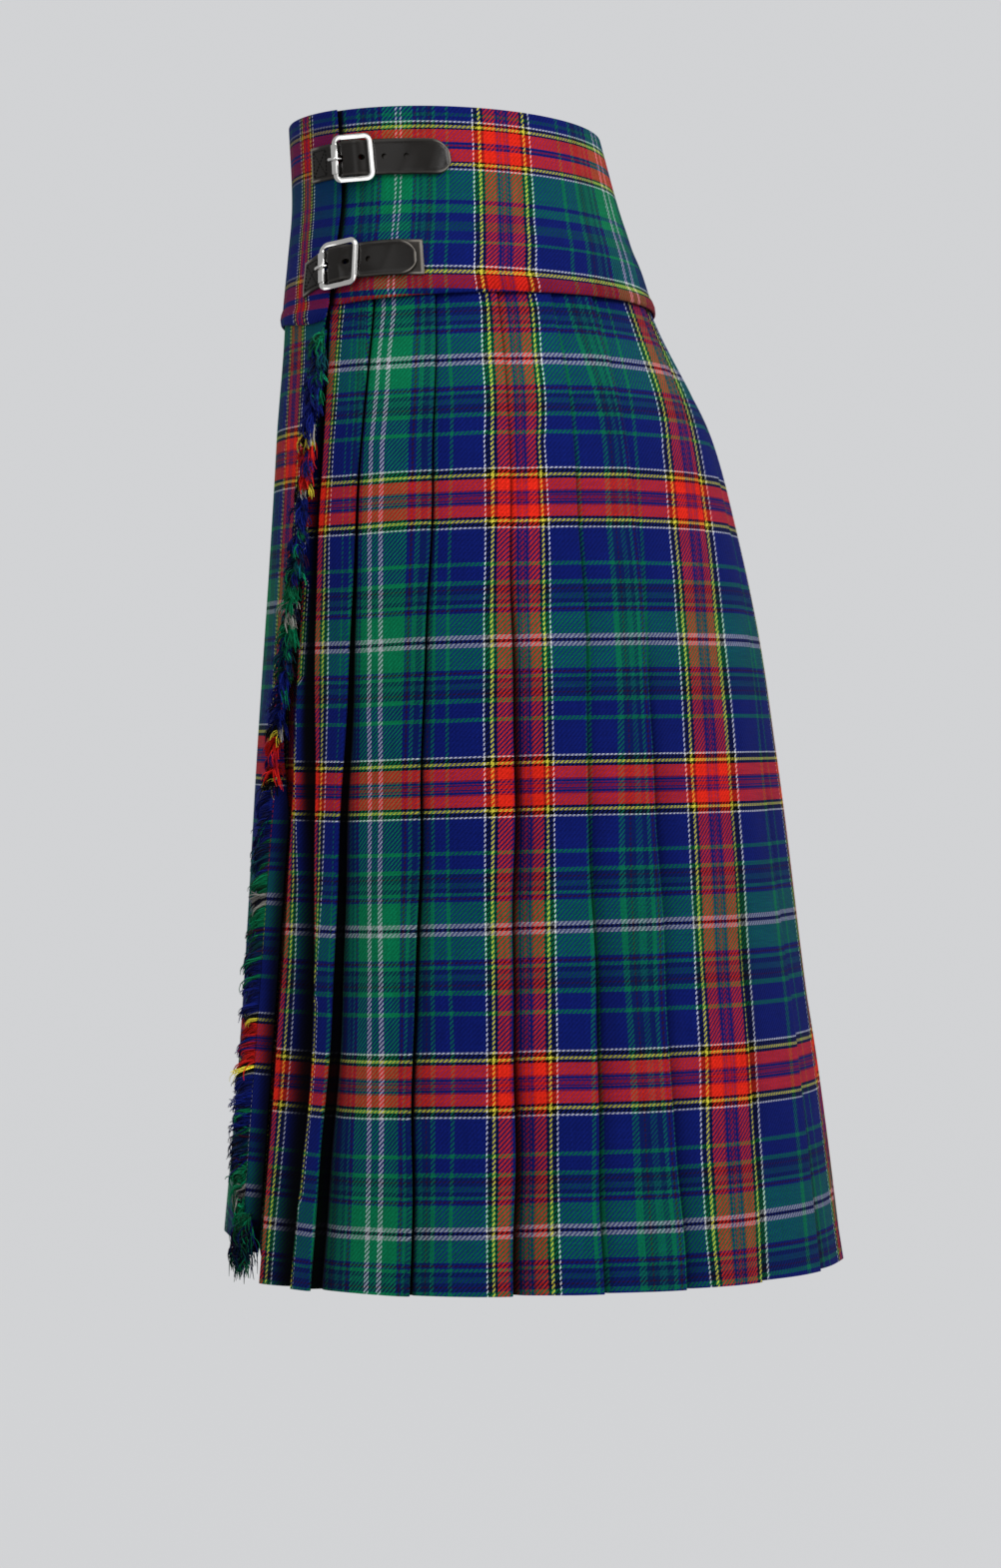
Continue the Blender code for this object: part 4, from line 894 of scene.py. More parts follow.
def hollow_shade(fold, away, drop):
    """How dark the hollow is, from 0 to 1: black in its middle, with a soft edge."""
    width = hollow_width(fold, drop)
    soft = BOX_SOFT_SHADE if fold is BOX_BACK else SOFT_SHADE
    soft *= smooth_step(drop, 0.18, 0.50)
    return np.maximum(np.exp(-(away / width) ** 2), soft * np.exp(-(away / (SOFT_REACH * width)) ** 2))


def box_shade(share, drop):
    """How dark the cloth is in front of the box pleat, at a share of the way to the next fold."""
    lower = smooth_step(drop, 0.36, 0.46)
    return 1 - smooth_step(share, mix(0.52, 0.26, lower), mix(0.84, 0.82, lower))


def start_depth(fold, drop):
    """Depth of the cloth beneath a fold's edge."""
    return fold_recess(fold, drop) + float(hollow_depth(fold, 0.0, drop))


def add_knife_panel(cloth, before, fold, drop, last):
    """The visible panel between two folds, the fold, and its hidden return."""
    start, edge = fold_angle(before, drop), fold_angle(fold, drop)
    recess = fold_recess(before, drop)
    under = edge - fold_underlap(fold, drop)
    nose = cloth.nose_width
    index = FOLDS.index(before)

    def depth_at(angle):
        slope = panel_slope(recess, np.maximum(edge - nose - angle, 0) / (edge - nose - start))
        return slope + hollow_depth(before, metres_round(angle - start, drop), drop)

    angles = eased(start, edge - nose)
    shade = hollow_shade(before, metres_round(angles - start, drop), drop)
    cloth.add(angles, depth_at(angles), index, shown=True, shade=shade)
    cloth.nose(edge, 1, index)
    hidden = return_depth(fold, depth_at(under), drop)
    cloth.line((edge - 1.6 * nose, FOLD_PITCH), (under, hidden), index)
    if last:
        cloth.add(under, hidden, index)
        return
    cloth.turn(under, hidden, -1, index)
    cloth.line((under, hidden + FOLD_PITCH), (edge, start_depth(fold, drop)), index + 1)


def add_front_pleats(cloth, drop):
    """The first knife pleat, which faces forward, and the box pleat beside it."""
    nose = cloth.nose_width
    first, front, back = (fold_angle(f, drop) for f in FOLDS[:3])
    first_in = first + fold_underlap(FRONT_KNIFE, drop)
    front_in = front + fold_underlap(BOX_FRONT, drop)
    back_in = back - fold_underlap(BOX_BACK, drop)
    recess = fold_recess(BOX_FRONT, drop)

    def first_panel(angle):
        slope = panel_slope(recess, np.maximum(angle - first - nose, 0) / (front - first - nose))
        return slope + hollow_depth(BOX_FRONT, metres_round(front - angle, drop), drop)

    first_hidden = return_depth(FRONT_KNIFE, first_panel(first_in), drop)
    front_hidden = return_depth(BOX_FRONT, 0.0, drop)
    back_hidden = return_depth(BOX_BACK, 0.0, drop)
    cloth.line((first_in, first_hidden), (first + 1.6 * nose, FOLD_PITCH), 0)
    cloth.nose(first, -1, 0)
    angles = eased(first + nose, front)[1:]
    shade = box_shade((front - angles) / (front - first), drop)
    cloth.add(angles, first_panel(angles), 0, shown=True, shade=shade)
    cloth.line((front + 0.1 * nose, start_depth(BOX_FRONT, drop)),
               (front_in, front_hidden + FOLD_PITCH), 0)
    cloth.turn(front_in, front_hidden, 1, 0)
    cloth.line((front_in, front_hidden), (front + 1.6 * nose, FOLD_PITCH), 1)
    cloth.nose(front, -1, 1)
    cloth.add(eased(front + nose, back - nose)[1:], 0.0, 1, shown=True, shade=0.0)
    cloth.nose(back, 1, 1)
    cloth.line((back - 1.6 * nose, FOLD_PITCH), (back_in, back_hidden), 1)
    cloth.turn(back_in, back_hidden, -1, 1)
    cloth.line((back_in, back_hidden + FOLD_PITCH), (back, start_depth(BOX_BACK, drop)), 2)


def track_place(panel, angle, drop):
    """Place in the sett along the visible part of a pleat, from the lines of its stripes."""
    before, fold = FOLDS[panel], FOLDS[panel + 1]
    tracks = PANEL_TRACKS[before.name]
    share = float(np.clip(sway(drop), 0, 1))
    known = [(fold_angle(before, drop), mix(*tracks.start, share))]
    for line in tracks.lines:
        known.append((float(np.interp(drop, TRACK_DROPS, line.angles)), line.place))
    known.append((fold_angle(fold, drop), mix(*tracks.end, share)))
    angles, places = np.array(known).T
    kept = np.concatenate([[True], np.diff(angles) > 0.4])
    kept[-1] = kept[-1] or len(known) == 2
    return np.interp(angle, angles[kept], places[kept])


def skirt_drops(last, first=YOKE_SEAM_DROP - LAP):
    return np.linspace(first, last, round((last - first) / ROW_STEP) + 1)


def hang(rows, drops, tuck, yoke_edge, hem_at):
    """Hangs rows of (angles, depths) on the form. Level rows lean to the sloping top and hem.
    Returns each grid point's angle, drop, place in space and distance along its row."""
    angle, depth = (np.array([row[k] for row in rows]) for k in (0, 1))
    drop = np.repeat(drops[:, None], angle.shape[1], axis=1)
    above = np.clip((TOP_BLEND_DROP - drop) / (TOP_BLEND_DROP - drops[0]), 0, 1)
    below = np.clip((drop - HEM_BLEND_DROP) / (drops[-1] - HEM_BLEND_DROP), 0, 1)
    drop = np.where(above > 0, mix(TOP_BLEND_DROP, yoke_edge(angle) - LAP, above), drop)
    drop = np.where(below > 0, mix(HEM_BLEND_DROP, hem_at(angle), below), drop)
    depth = depth + CLOTH / 2 + tuck[:, None]
    middle = form_point(angle, drop, undulation(angle, drop) - depth)
    return angle, drop, middle, running_length(middle)


def pleat_rows(first, last, drops):
    """The rows of the pleats from one fold to another."""
    cloth = FoldedCloth()
    for drop in drops:
        cloth.start_row(drop)
        start = first
        if first == 0:
            add_front_pleats(cloth, drop)
            start = FOLDS.index(BOX_BACK)
        else:
            fold, before = FOLDS[first], FOLDS[first - 1]
            edge = fold_angle(fold, drop)
            cloth.line((edge - fold_underlap(fold, drop), outer_return(fold, before, drop)),
                       (edge, start_depth(fold, drop)), first)
        for index in range(start, last):
            add_knife_panel(cloth, FOLDS[index], FOLDS[index + 1], drop, index == last - 1)
        cloth.end_row()
    return cloth.rows


def make_pleats(length, material):
    names = [fold.name for fold in FOLDS]
    drops = skirt_drops(PLEAT_HEM_DROP)
    rows = pleat_rows(names.index(length.first_fold), names.index(length.last_fold), drops)
    angle, place, middle, along = hang(rows, drops, tuck_depth(drops), yoke_bottom, pleat_hem)
    _, _, panel, shown, _ = rows[0]
    warp, thread = np.zeros_like(along), np.zeros_like(along)
    for index in np.unique(panel):
        mine = np.flatnonzero(panel == index)
        seen = mine[shown[mine]] if shown[mine].any() else mine
        from_centre = along[:, mine] - along[:, [seen[len(seen) // 2]]]
        thread[:, mine] = from_centre + TWILL_PANEL_STEP * index
        warp[:, mine] = from_centre + HIDDEN_PANEL_STEP * index
        if FOLDS[index].name not in PANEL_TRACKS:
            continue
        before, after = mine[mine < seen[0]], mine[mine > seen[-1]]
        for row, drop in enumerate(drops):
            warp[row, seen] = track_place(index, angle[row, seen], drop)
            for hidden, end in ((before, seen[0]), (after, seen[-1])):
                warp[row, hidden] = warp[row, end] + along[row, hidden] - along[row, end]
    weft = weft_place(place - weft_shift(angle, place))
    shade = np.array([row[4] for row in rows])
    return cloth_piece(length.name, middle, CLOTH, (warp, weft, shade), (thread, place * 1000),
                       material, length.name)


OVER_APRON_SPAN, UNDER_APRON_SPAN = 115, 96    # degrees that the aprons reach, roughly


def make_over_apron(material):
    drops = skirt_drops(APRON_LAST_DROP)
    rows = []
    for drop in drops:
        last = fold_angle(LAST_FOLD, drop)
        reach = fold_underlap(LAST_FOLD, drop)
        recess = fold_recess(LAST_FOLD, drop)
        hidden = outer_return(LAST_FOLD, FOLDS[-2], drop)
        share = np.arange(HIDDEN_COLUMNS) / HIDDEN_COLUMNS
        shown = np.linspace(last - 360, apron_edge(drop), round(OVER_APRON_SPAN / PLAIN_STEP))
        depth = recess * (1 - smooth_step(shown, last - 360, last - 347.5)) - over_lift(shown)
        rows.append((np.concatenate([mix(last - reach - 360, last - 360, share), shown]),
                     np.concatenate([mix(hidden, recess, share), depth])))
    angle, place, middle, along = hang(rows, drops, tuck_depth(drops, OVER_YOKE_LOWEST, 0.0),
                                       over_yoke_bottom, apron_hem)
    weft = apron_weft(place, smooth_step(angle, -50.0, 30.0))
    return cloth_piece("over_apron", middle, CLOTH, (apron_warp(angle, drops), weft, 0.0),
                       (along - along[:, [-1]], place * 1000), material, "over_apron")


def make_under_apron(material):
    drops = skirt_drops(PLEAT_HEM_DROP)
    rows = []
    for drop in drops:
        first = fold_angle(FRONT_KNIFE, drop)
        reach = fold_underlap(FRONT_KNIFE, drop)
        panel = fold_angle(BOX_FRONT, drop) - first
        covered = panel_slope(fold_recess(BOX_FRONT, drop), reach / panel)
        covered += float(hollow_depth(BOX_FRONT, metres_round(panel - reach, drop), drop))
        recess = fold_recess(FRONT_KNIFE, drop)
        end_depth = return_depth(FRONT_KNIFE, covered, drop) + FOLD_PITCH
        resting = mix(OVER_LIFT, 0.0060, smooth_step(drop, 0.13, 0.25))
        shown = np.linspace(UNDER_APRON_EDGE, first, round(UNDER_APRON_SPAN / PLAIN_STEP))
        depth = mix(resting, recess, smooth_step(shown, 20.0, first - 2.0))
        share = np.arange(1, 4) / 3
        rows.append((np.concatenate([shown, mix(first, first + reach, share)]),
                     np.concatenate([depth, mix(recess, end_depth, share)])))
    _, place, middle, along = hang(rows, drops, tuck_depth(drops), yoke_bottom, under_hem)
    warp = along - along[:, [-1]] + 20.0
    return cloth_piece("under_apron", middle, CLOTH, (warp, weft_place(place), 0.0),
                       (warp, place * 1000), material, "under_apron")


# ---------------------------------------------------------------- yoke
YOKE_STEP = 0.0030
YOKE_ROUND = [0.0, 0.0002, 0.0005, 0.0010]     # distances from the edge of the rows that round it


def closing_edge(drop):
    """Angle of the overlap's closing edge, with its rounded lower corner."""
    angle = table(CLOSING_EDGE, "angle", drop)
    above = over_yoke_bottom(CLOSING_EDGE[-1].angle) - drop
    inside = np.maximum(CORNER_RADIUS ** 2 - (CORNER_RADIUS - above) ** 2, 0)
    inset = np.where(above < CORNER_RADIUS, CORNER_RADIUS - np.sqrt(inside), 0.0)
    return angle - degrees_of(0.8 * inset, drop)


def track_lines(lines, angle, drop):
    """Place in the sett on the yoke, from the lines of its stripes."""
    place = np.zeros_like(angle)
    for i in range(angle.shape[0]):
        level = float(np.mean(drop[i]))
        at = [float(np.interp(level, YOKE_TRACK_DROPS, line.angles)) for line in lines]
        places = [line.place for line in lines]
        millimetres = metres_round(1.0, level) * 1000
        at = [at[0] - 100, *at, at[-1] + 200]
        places = [places[0] - 100 * millimetres, *places, places[-1] + 200 * millimetres]
        place[i] = np.interp(angle[i], at, places)
    return place


def yoke_heights(bottom_most):
    """Shares of the yoke's height for its rows, close together at both edges."""
    rounds = np.array(YOKE_ROUND) / bottom_most
    count = round(bottom_most / YOKE_STEP)
    inner = np.linspace(0.0016 / bottom_most, 1 - 0.0016 / bottom_most, count)
    return np.concatenate([rounds, inner, 1 - rounds[::-1]])


def rounded_off(share):
    """How thick a rounded edge is: a small share at the edge itself and 1 further in."""
    return np.sqrt(np.maximum(1 - (1 - np.clip(share, 0, 1)) ** 2, 0.02))


def overlap_shade(angle, drop):
    """The overlap's closing edge throws a soft shadow on the yoke beneath."""
    away = metres_round(np.maximum(angle - closing_edge(drop), 0), drop)
    return 0.95 * np.exp(-(away / 0.0026) ** 2) * (angle < 120)


def make_yoke(name, angles, material, lines, bottom_at=yoke_bottom, outward_at=0.0, swell_at=0.0,
              shade_at=None, edge_at=None):
    end = angles[-1]
    if edge_at:
        angles = np.concatenate([angles[angles < end - 1.6], np.linspace(end - 1.5, end, 6)])
    bottom = bottom_at(angles)
    shares = yoke_heights(float(np.max(bottom)))
    drop = shares[:, None] * bottom[None, :]
    angle = np.repeat(angles[None, :], len(shares), axis=0)
    if edge_at:
        lean = np.clip((angle - (end - 12.0)) / 12.0, 0, 1)
        angle = np.where(lean > 0, mix(end - 12.0, edge_at(drop), lean), angle)
    outward, swell = (at(angle) if callable(at) else at for at in (outward_at, swell_at))
    above = bottom[None, :] - drop
    swell = swell * np.sin(np.pi * np.clip(above / 0.010, 0, 1))
    middle = form_point(angle, drop, outward - YOKE_CLOTH / 2 + swell + undulation(angle, drop))
    thickness = YOKE_CLOTH * rounded_off(np.minimum(above, drop) / 0.0010)
    if edge_at:
        thickness = thickness * rounded_off((end - angles) / 1.0)[None, :]
    along = running_length(middle)
    shade = shade_at(angle, drop) if shade_at else 0.0
    return cloth_piece(name, middle, thickness, (track_lines(lines, angle, drop), drop * 1000, shade),
                       (along - along[:, [0]], drop * 1000), material, name)


def yoke_angles(start, end):
    return np.linspace(start, end, round((end - start) / (PLAIN_STEP * 1.5)) + 1)


def make_yokes(material, shaded_overlap_material):
    gap = degrees_of(SEAM, 0.05)
    back_angles = yoke_angles(UNDER_YOKE_SEAM + gap, YOKE_SIDE_SEAM - gap)
    back = make_yoke("yoke_back", np.union1d(back_angles, np.arange(70.0, 78.0, 0.3)), material,
                     YOKE_BACK_LINES, swell_at=lambda a: ROLL * smooth_step(a, 72.0, 84.0),
                     shade_at=overlap_shade)
    under = make_yoke("yoke_under", yoke_angles(UNDER_YOKE_EDGE, UNDER_YOKE_SEAM), material,
                      YOKE_OVER_LINES, outward_at=lambda a: over_lift(a) - OVER_LIFT)
    over = make_yoke("yoke_over", yoke_angles(YOKE_SIDE_SEAM - 360, CLOSING_EDGE[0].angle),
                     shaded_overlap_material, YOKE_OVER_LINES, over_yoke_bottom, over_lift, ROLL,
                     edge_at=closing_edge)
    return back, under, over


# ---------------------------------------------------------------- fringe
FRINGE_TOP, FRINGE_BOTTOM = 0.131, 0.664
FRINGE_STRIP = (0.0022, 0.0125)        # width of the strip along the edge, at the yoke and below
THREADS = 4900
TAIL_THREADS = 420         # longer yarns that hang in curls from the strip's lower end
LOCK = 11                  # neighbouring yarns that hang together
THREAD_RADIUS = 0.00037
THREAD_STEPS = 6
THREAD_SIDES = 3
FRINGE_LAY = make_rows("drop on_face inset side_reach face_reach fall outward length curl", [
    (0.130, 0.75, 0.0000, 0.25, -0.45, 0.95, 0.45, 0.0125, 0.45),
    (0.165, 0.60, 0.0000, 0.35, -0.30, 0.95, 0.45, 0.0125, 0.45),
    (0.210, 0.35, 0.0000, 0.45, -0.05, 0.90, 0.50, 0.0125, 0.45),
    (0.250, 0.35, 0.0000, 0.50, -0.30, 0.90, 0.50, 0.0125, 0.45),
    (0.285, 0.60, 0.0010, 0.50, -0.60, 0.85, 0.50, 0.0125, 0.45),
    (0.345, 0.60, 0.0010, 0.60, -0.70, 0.72, 0.50, 0.0125, 0.40),
    (0.385, 0.85, 0.0010, 0.50, -0.90, 0.68, 0.50, 0.0135, 0.25),
    (0.420, 1.20, 0.0010, 0.30, -1.00, 0.60, 0.52, 0.0150, 0.18),
    (0.500, 1.20, 0.0010, 0.20, -1.00, 0.52, 0.60, 0.0155, 0.18),
    (0.570, 1.20, 0.0010, 0.20, -1.00, 0.40, 0.62, 0.0160, 0.22),
    (0.605, 1.10, 0.0010, 0.30, -0.75, 0.60, 0.60, 0.0175, 0.60),
    (0.635, 1.00, 0.0010, 0.45, -0.20, 0.85, 0.45, 0.0150, 1.00),
    (0.664, 1.00, 0.0010, 0.45, -0.10, 0.90, 0.45, 0.0170, 1.00),
])


def fringe_lift(drop, edge):
    """How far the overlap's outer face stands off the form along its free edge."""
    return over_lift(edge) - tuck_depth(drop, OVER_YOKE_LOWEST, 0.0) + undulation(edge, drop)


def yarn_lines(count):
    """The mid lines of the yarns, and the drop and brightness of each: a random tone by yarn and lock,
    which also carries painted highlights and painted shade among the locks, and is darker on the curled
    tail.
    """
    tail = np.arange(count) >= count - TAIL_THREADS
    even = np.minimum(np.arange(count) / (count - TAIL_THREADS), 1.0)
    drop = mix(FRINGE_TOP, FRINGE_BOTTOM, even) + RANDOM.uniform(-0.0002, 0.0002, count)
    drop = np.where(tail, FRINGE_BOTTOM - RANDOM.uniform(0.0, 0.022, count), drop)
    drop = np.clip(drop, FRINGE_TOP, FRINGE_BOTTOM)
    lay = {column: table(FRINGE_LAY, column, drop) for column in FRINGE_LAY[0]._fields[1:]}
    lock = np.arange(count) // LOCK
    shared = RANDOM.normal(0, 1, (count // LOCK + 2, 5))[lock]
    own = RANDOM.normal(0, 1, (count, 5))
    on_face = RANDOM.random(count // LOCK + 2)[lock] + 0.12 * own[:, 4] < lay["on_face"]
    reach = np.where(on_face, lay["face_reach"], lay["side_reach"])
    reach = reach + 0.16 * shared[:, 0] + 0.13 * own[:, 0]
    fall = lay["fall"] + 0.16 * shared[:, 1] + 0.10 * own[:, 1]
    outward = lay["outward"] + 0.20 * shared[:, 2] + 0.16 * own[:, 2]
    length = lay["length"] * (1 + 0.16 * shared[:, 3] + 0.10 * own[:, 3])
    length = np.where(tail, RANDOM.uniform(0.014, 0.023, count), length)
    reach = np.where(tail, RANDOM.uniform(-0.2, 0.9, count), reach)
    curl = lay["curl"] * (1 + 0.4 * own[:, 2])
    root_edge = apron_edge(drop) + degrees_of(SEAM, drop)
    edge = root_edge - degrees_of(np.where(on_face, lay["inset"], -0.0008), drop)
    edge = np.where(tail, root_edge + degrees_of(0.011, drop) * RANDOM.random(count), edge)
    lift = fringe_lift(drop, root_edge) - np.where(on_face, 0.0, CLOTH * RANDOM.random(count))
    here = form_point(edge, drop)
    along = unit(form_point(edge + 1.0, drop) - here)
    away = unit(form_point(edge, drop, 0.01) - here)
    down = unit(form_point(edge, drop + 0.01) - here)
    line = [form_point(edge, drop, lift)]
    phase = RANDOM.uniform(0, 2 * math.pi, count)
    for k in range(THREAD_STEPS):
        t = (k + 0.5) / THREAD_STEPS
        spring = outward * (1.35 - 1.75 * t)
        side = reach * (1.15 - 0.35 * t) + curl * np.sin(phase + 6.5 * t)
        drape = fall * (0.45 + 1.1 * t) + 0.5 * curl * np.cos(phase + 6.5 * t)
        heading = unit(side[:, None] * along + spring[:, None] * away + drape[:, None] * down)
        line.append(line[-1] + heading * (length / THREAD_STEPS)[:, None])
    bright = np.clip(0.95 + 0.40 * own[:, 4] + 0.25 * shared[:, 4], 0.22, 2.2)
    return np.stack(line, axis=1), away, drop, np.where(tail, 0.6 * bright, bright)


def thread_faces(count, levels, sides):
    """Faces of capped tubes whose vertices run by thread, level and side."""
    base = (np.arange(count) * levels * sides)[:, None, None]
    level = (np.arange(levels - 1) * sides)[None, :, None]
    k = np.arange(sides)[None, None, :]
    m = (k + 1) % sides
    quads = np.stack(np.broadcast_arrays(base + level + k, base + level + m,
                                         base + level + sides + m, base + level + sides + k), axis=-1)
    roots = base[:, 0] + np.arange(sides)
    tips = roots + (levels - 1) * sides
    return quads.reshape(-1, 4).tolist() + tips.tolist() + roots[:, ::-1].tolist()


def make_fringe(material):
    """Yarns drawn out of the overlap's free edge, in locks that fall to both sides."""
    count = THREADS // 1
    line, away, drop, bright = yarn_lines(count)
    run = unit(np.gradient(line, axis=1))
    side = unit(np.cross(run, away[:, None, :]))
    up = np.cross(side, run)
    levels, sides = THREAD_STEPS + 1, THREAD_SIDES
    taper = np.interp(np.linspace(0, 1, levels), [0, 0.2, 0.7, 1.0], [0.9, 1.15, 1.0, 0.45])
    radius = THREAD_RADIUS * RANDOM.uniform(0.75, 1.25, count)[:, None] * taper[None, :]
    ring = [line + radius[..., None] * (math.cos(a) * side + math.sin(a) * up) for a in circle(sides)]
    vertices = np.stack(ring, axis=2).reshape(-1, 3)       # by yarn, level and side
    faces = thread_faces(count, levels, sides)
    obj = new_object("fringe_yarns", vertices, faces, material, 80.0)
    level, turn = np.arange(levels)[None, :, None], np.arange(sides)[None, None, :]
    drop, bright = drop[:, None, None], bright[:, None, None]
    for key, values in (("sett", (0.0, apron_weft(drop), bright)),
                        ("cloth", (level * 1.6, drop * 3000, turn * 0.7))):
        grid = [np.broadcast_to(value, (count, levels, sides)) for value in values]
        add_vectors(obj.data, key, np.stack(grid, axis=-1))
    return finish_piece(obj, "fringe_wool", "fringe")


def make_fringe_strip(material):
    """The narrow strip of cloth along the free edge that the fringe is drawn out of. It is wider
    lower down, and sinks towards the first pleat."""
    drops = np.linspace(FRINGE_TOP, FRINGE_BOTTOM, 180)[:, None]
    across = np.linspace(0.0, 1.0, 9)[None, :] * mix(*FRINGE_STRIP, smooth_step(drops, 0.36, 0.42))
    edge = apron_edge(drops) + degrees_of(SEAM, drops)
    lift = fringe_lift(drops, edge) - CLOTH / 2 - 0.20 * across - 18.0 * across ** 2
    middle = form_point(edge + degrees_of(across, drops), drops + 0 * across, lift)
    warp = EDGE_PLACE + across * 1000
    shade = smooth_step(across / FRINGE_STRIP[1], 0.05, 1.3)
    return cloth_piece("fringe_strip", middle, CLOTH, (warp, apron_weft(drops), shade),
                       (warp, drops * 1000), material)


# ---------------------------------------------------------------- straps and buckles
STRAP_LEATHER = 0.0015
CHAPE_LEATHER = 0.0010
STRAP_HALF_WIDTH = 0.0106
HOLE_RADIUS = 0.0017
PIERCED_RADIUS = 0.0024        # the hole that the prong stands in is wider
HOLE_PITCH = 0.0135
PRONG_HOLE = -0.0080
FRAME_HALF_LENGTH = 0.0115
FRAME_HALF_HEIGHT = 0.0127
FRAME_CORNER = 0.0036
BAR_HALF_WIDTH = 0.0017
BAR_HALF_HEIGHT = 0.0010
CENTRE_BAR_RADIUS = 0.0012
CENTRE_BAR_HEIGHT = 0.0030
ROLLER_HALF_LENGTH = 0.0088
ROLLER_WALL = 0.0004
PRONG_RADIUS = 0.0009
PRONG_RING_RADIUS = 0.00055
PRONG_PAST_BAR = 0.0040
FIT = 0.0003                   # clearance between the buckle's pieces
TAB_MID = OVER_LIFT + SEAM + STRAP_LEATHER / 2
CHAPE_MID = CENTRE_BAR_HEIGHT - CENTRE_BAR_RADIUS - FIT - CHAPE_LEATHER / 2
TAIL_MID = CHAPE_MID + (CHAPE_LEATHER + STRAP_LEATHER) / 2 + SEAM
HUMP_MID = CENTRE_BAR_HEIGHT + CENTRE_BAR_RADIUS + FIT + CHAPE_LEATHER + SEAM + STRAP_LEATHER / 2
ROLLER_HALF_HEIGHT = BAR_HALF_HEIGHT + FIT + ROLLER_WALL
LEFT_BAR_HEIGHT = TAB_MID + STRAP_LEATHER / 2 + SEAM + ROLLER_HALF_HEIGHT
RIGHT_BAR_HEIGHT = TAIL_MID + STRAP_LEATHER / 2 + SEAM + BAR_HALF_HEIGHT
RAIL_MID_HEIGHT = CENTRE_BAR_HEIGHT + CENTRE_BAR_RADIUS + BAR_HALF_HEIGHT - 0.0003
# The route gives the drop of the strap's middle at places along it from the buckle.
STRAPS = make_rows("name buckle_angle tab_reach tip_reach chape_reach holes route", [
    ("upper", 81.0, 0.0355, 0.0585, 0.0480, 4,
     make_rows("along drop", [(-0.040, 0.0315), (0.0, 0.0302), (0.060, 0.0307)])),
    ("lower", 75.2, 0.0320, 0.0490, 0.0525, 3,
     make_rows("along drop", [(-0.032, 0.1000), (-0.011, 0.0945), (0.0, 0.0929), (0.011, 0.0917),
                              (0.030, 0.0908), (0.055, 0.0910)])),
])
EDGE_GROOVE = 0.0017      # the creased line's distance from the strap's edge
HIGHLIGHT_RIM = 0.0010         # the painted highlight's distance from it
GROOVE_DEPTH = 0.00028
GROOVE_HALF_WIDTH = 0.0005
RIM_WIDTH, RIM_DEPTH = 0.0008, 0.0006          # how far in, and how deep, the edge is rounded
HUMP_RISE = (-0.0104, -0.0062)                 # where the strap climbs over the centre bar
HUMP_FALL = (0.0012, 0.0100)                   # where it comes down beyond the bar
STITCH_BOX = (0.0030, 0.0145)                  # ends of the sewn box, from the tab's end
STITCH_MARGIN = 0.0029                         # the sewn box's distance from the strap's sides
STITCH_LENGTH = 0.0021
STITCH_RADIUS = 0.00028


def route_mapping(strap):
    """A function that bends flat strap coordinates (along, up, height) round the yoke."""
    step = 0.0005
    angles = {0: strap.buckle_angle}
    for sign in (1, -1):
        angle = strap.buckle_angle
        for i in range(1, 140):
            drop = table(strap.route, "drop", sign * i * step)
            here = form_point(angle, drop, 0.004)
            ahead = form_point(angle + sign * 0.1, drop, 0.004)
            angle += sign * 0.1 * step / np.linalg.norm(ahead - here)
            angles[sign * i] = angle
    keys = sorted(angles)
    places = np.array(keys) * step
    values = np.array([angles[k] for k in keys])

    def on_yoke(points):
        along, up, height = np.moveaxis(points, -1, 0)
        angle = np.interp(along, places, values)
        drop = table(strap.route, "drop", along) - up
        return form_point(angle, drop, height + undulation(angle, drop))

    return on_yoke


def bend(obj, on_yoke):
    co = np.zeros(len(obj.data.vertices) * 3)
    obj.data.vertices.foreach_get("co", co)
    obj.data.vertices.foreach_set("co", on_yoke(co.reshape(-1, 3)).ravel())
    obj.data.update()


def flat_object(name, vertices, faces, material, smooth_angle=40.0):
    obj = new_object(name, vertices, faces, material, smooth_angle)
    bm = bmesh.new()
    bm.from_mesh(obj.data)
    bmesh.ops.recalc_face_normals(bm, faces=bm.faces)
    bm.to_mesh(obj.data)
    bm.free()
    return obj


def bent_object(name, vertices, faces, material, on_yoke, smooth_angle):
    obj = flat_object(name, vertices, faces, material, smooth_angle)
    bend(obj, on_yoke)
    return obj


def strap_height(along):
    """Height of the strap's mid line: tab, hump over the centre bar, then its tail."""
    before = mix(TAB_MID, HUMP_MID, smooth_step(along, *HUMP_RISE))
    after = mix(HUMP_MID, TAIL_MID, smooth_step(along, *HUMP_FALL))
    return np.where(along < 0, before, after)


def groove(distance):
    """Depth of the creased line at a distance in from the edge, and the rounded rim outside."""
    crease = GROOVE_DEPTH * np.exp(-((distance - EDGE_GROOVE) / GROOVE_HALF_WIDTH) ** 2)
    rim = RIM_DEPTH * (1 - np.clip(distance / RIM_WIDTH, 0, 1)) ** 2
    return crease + rim


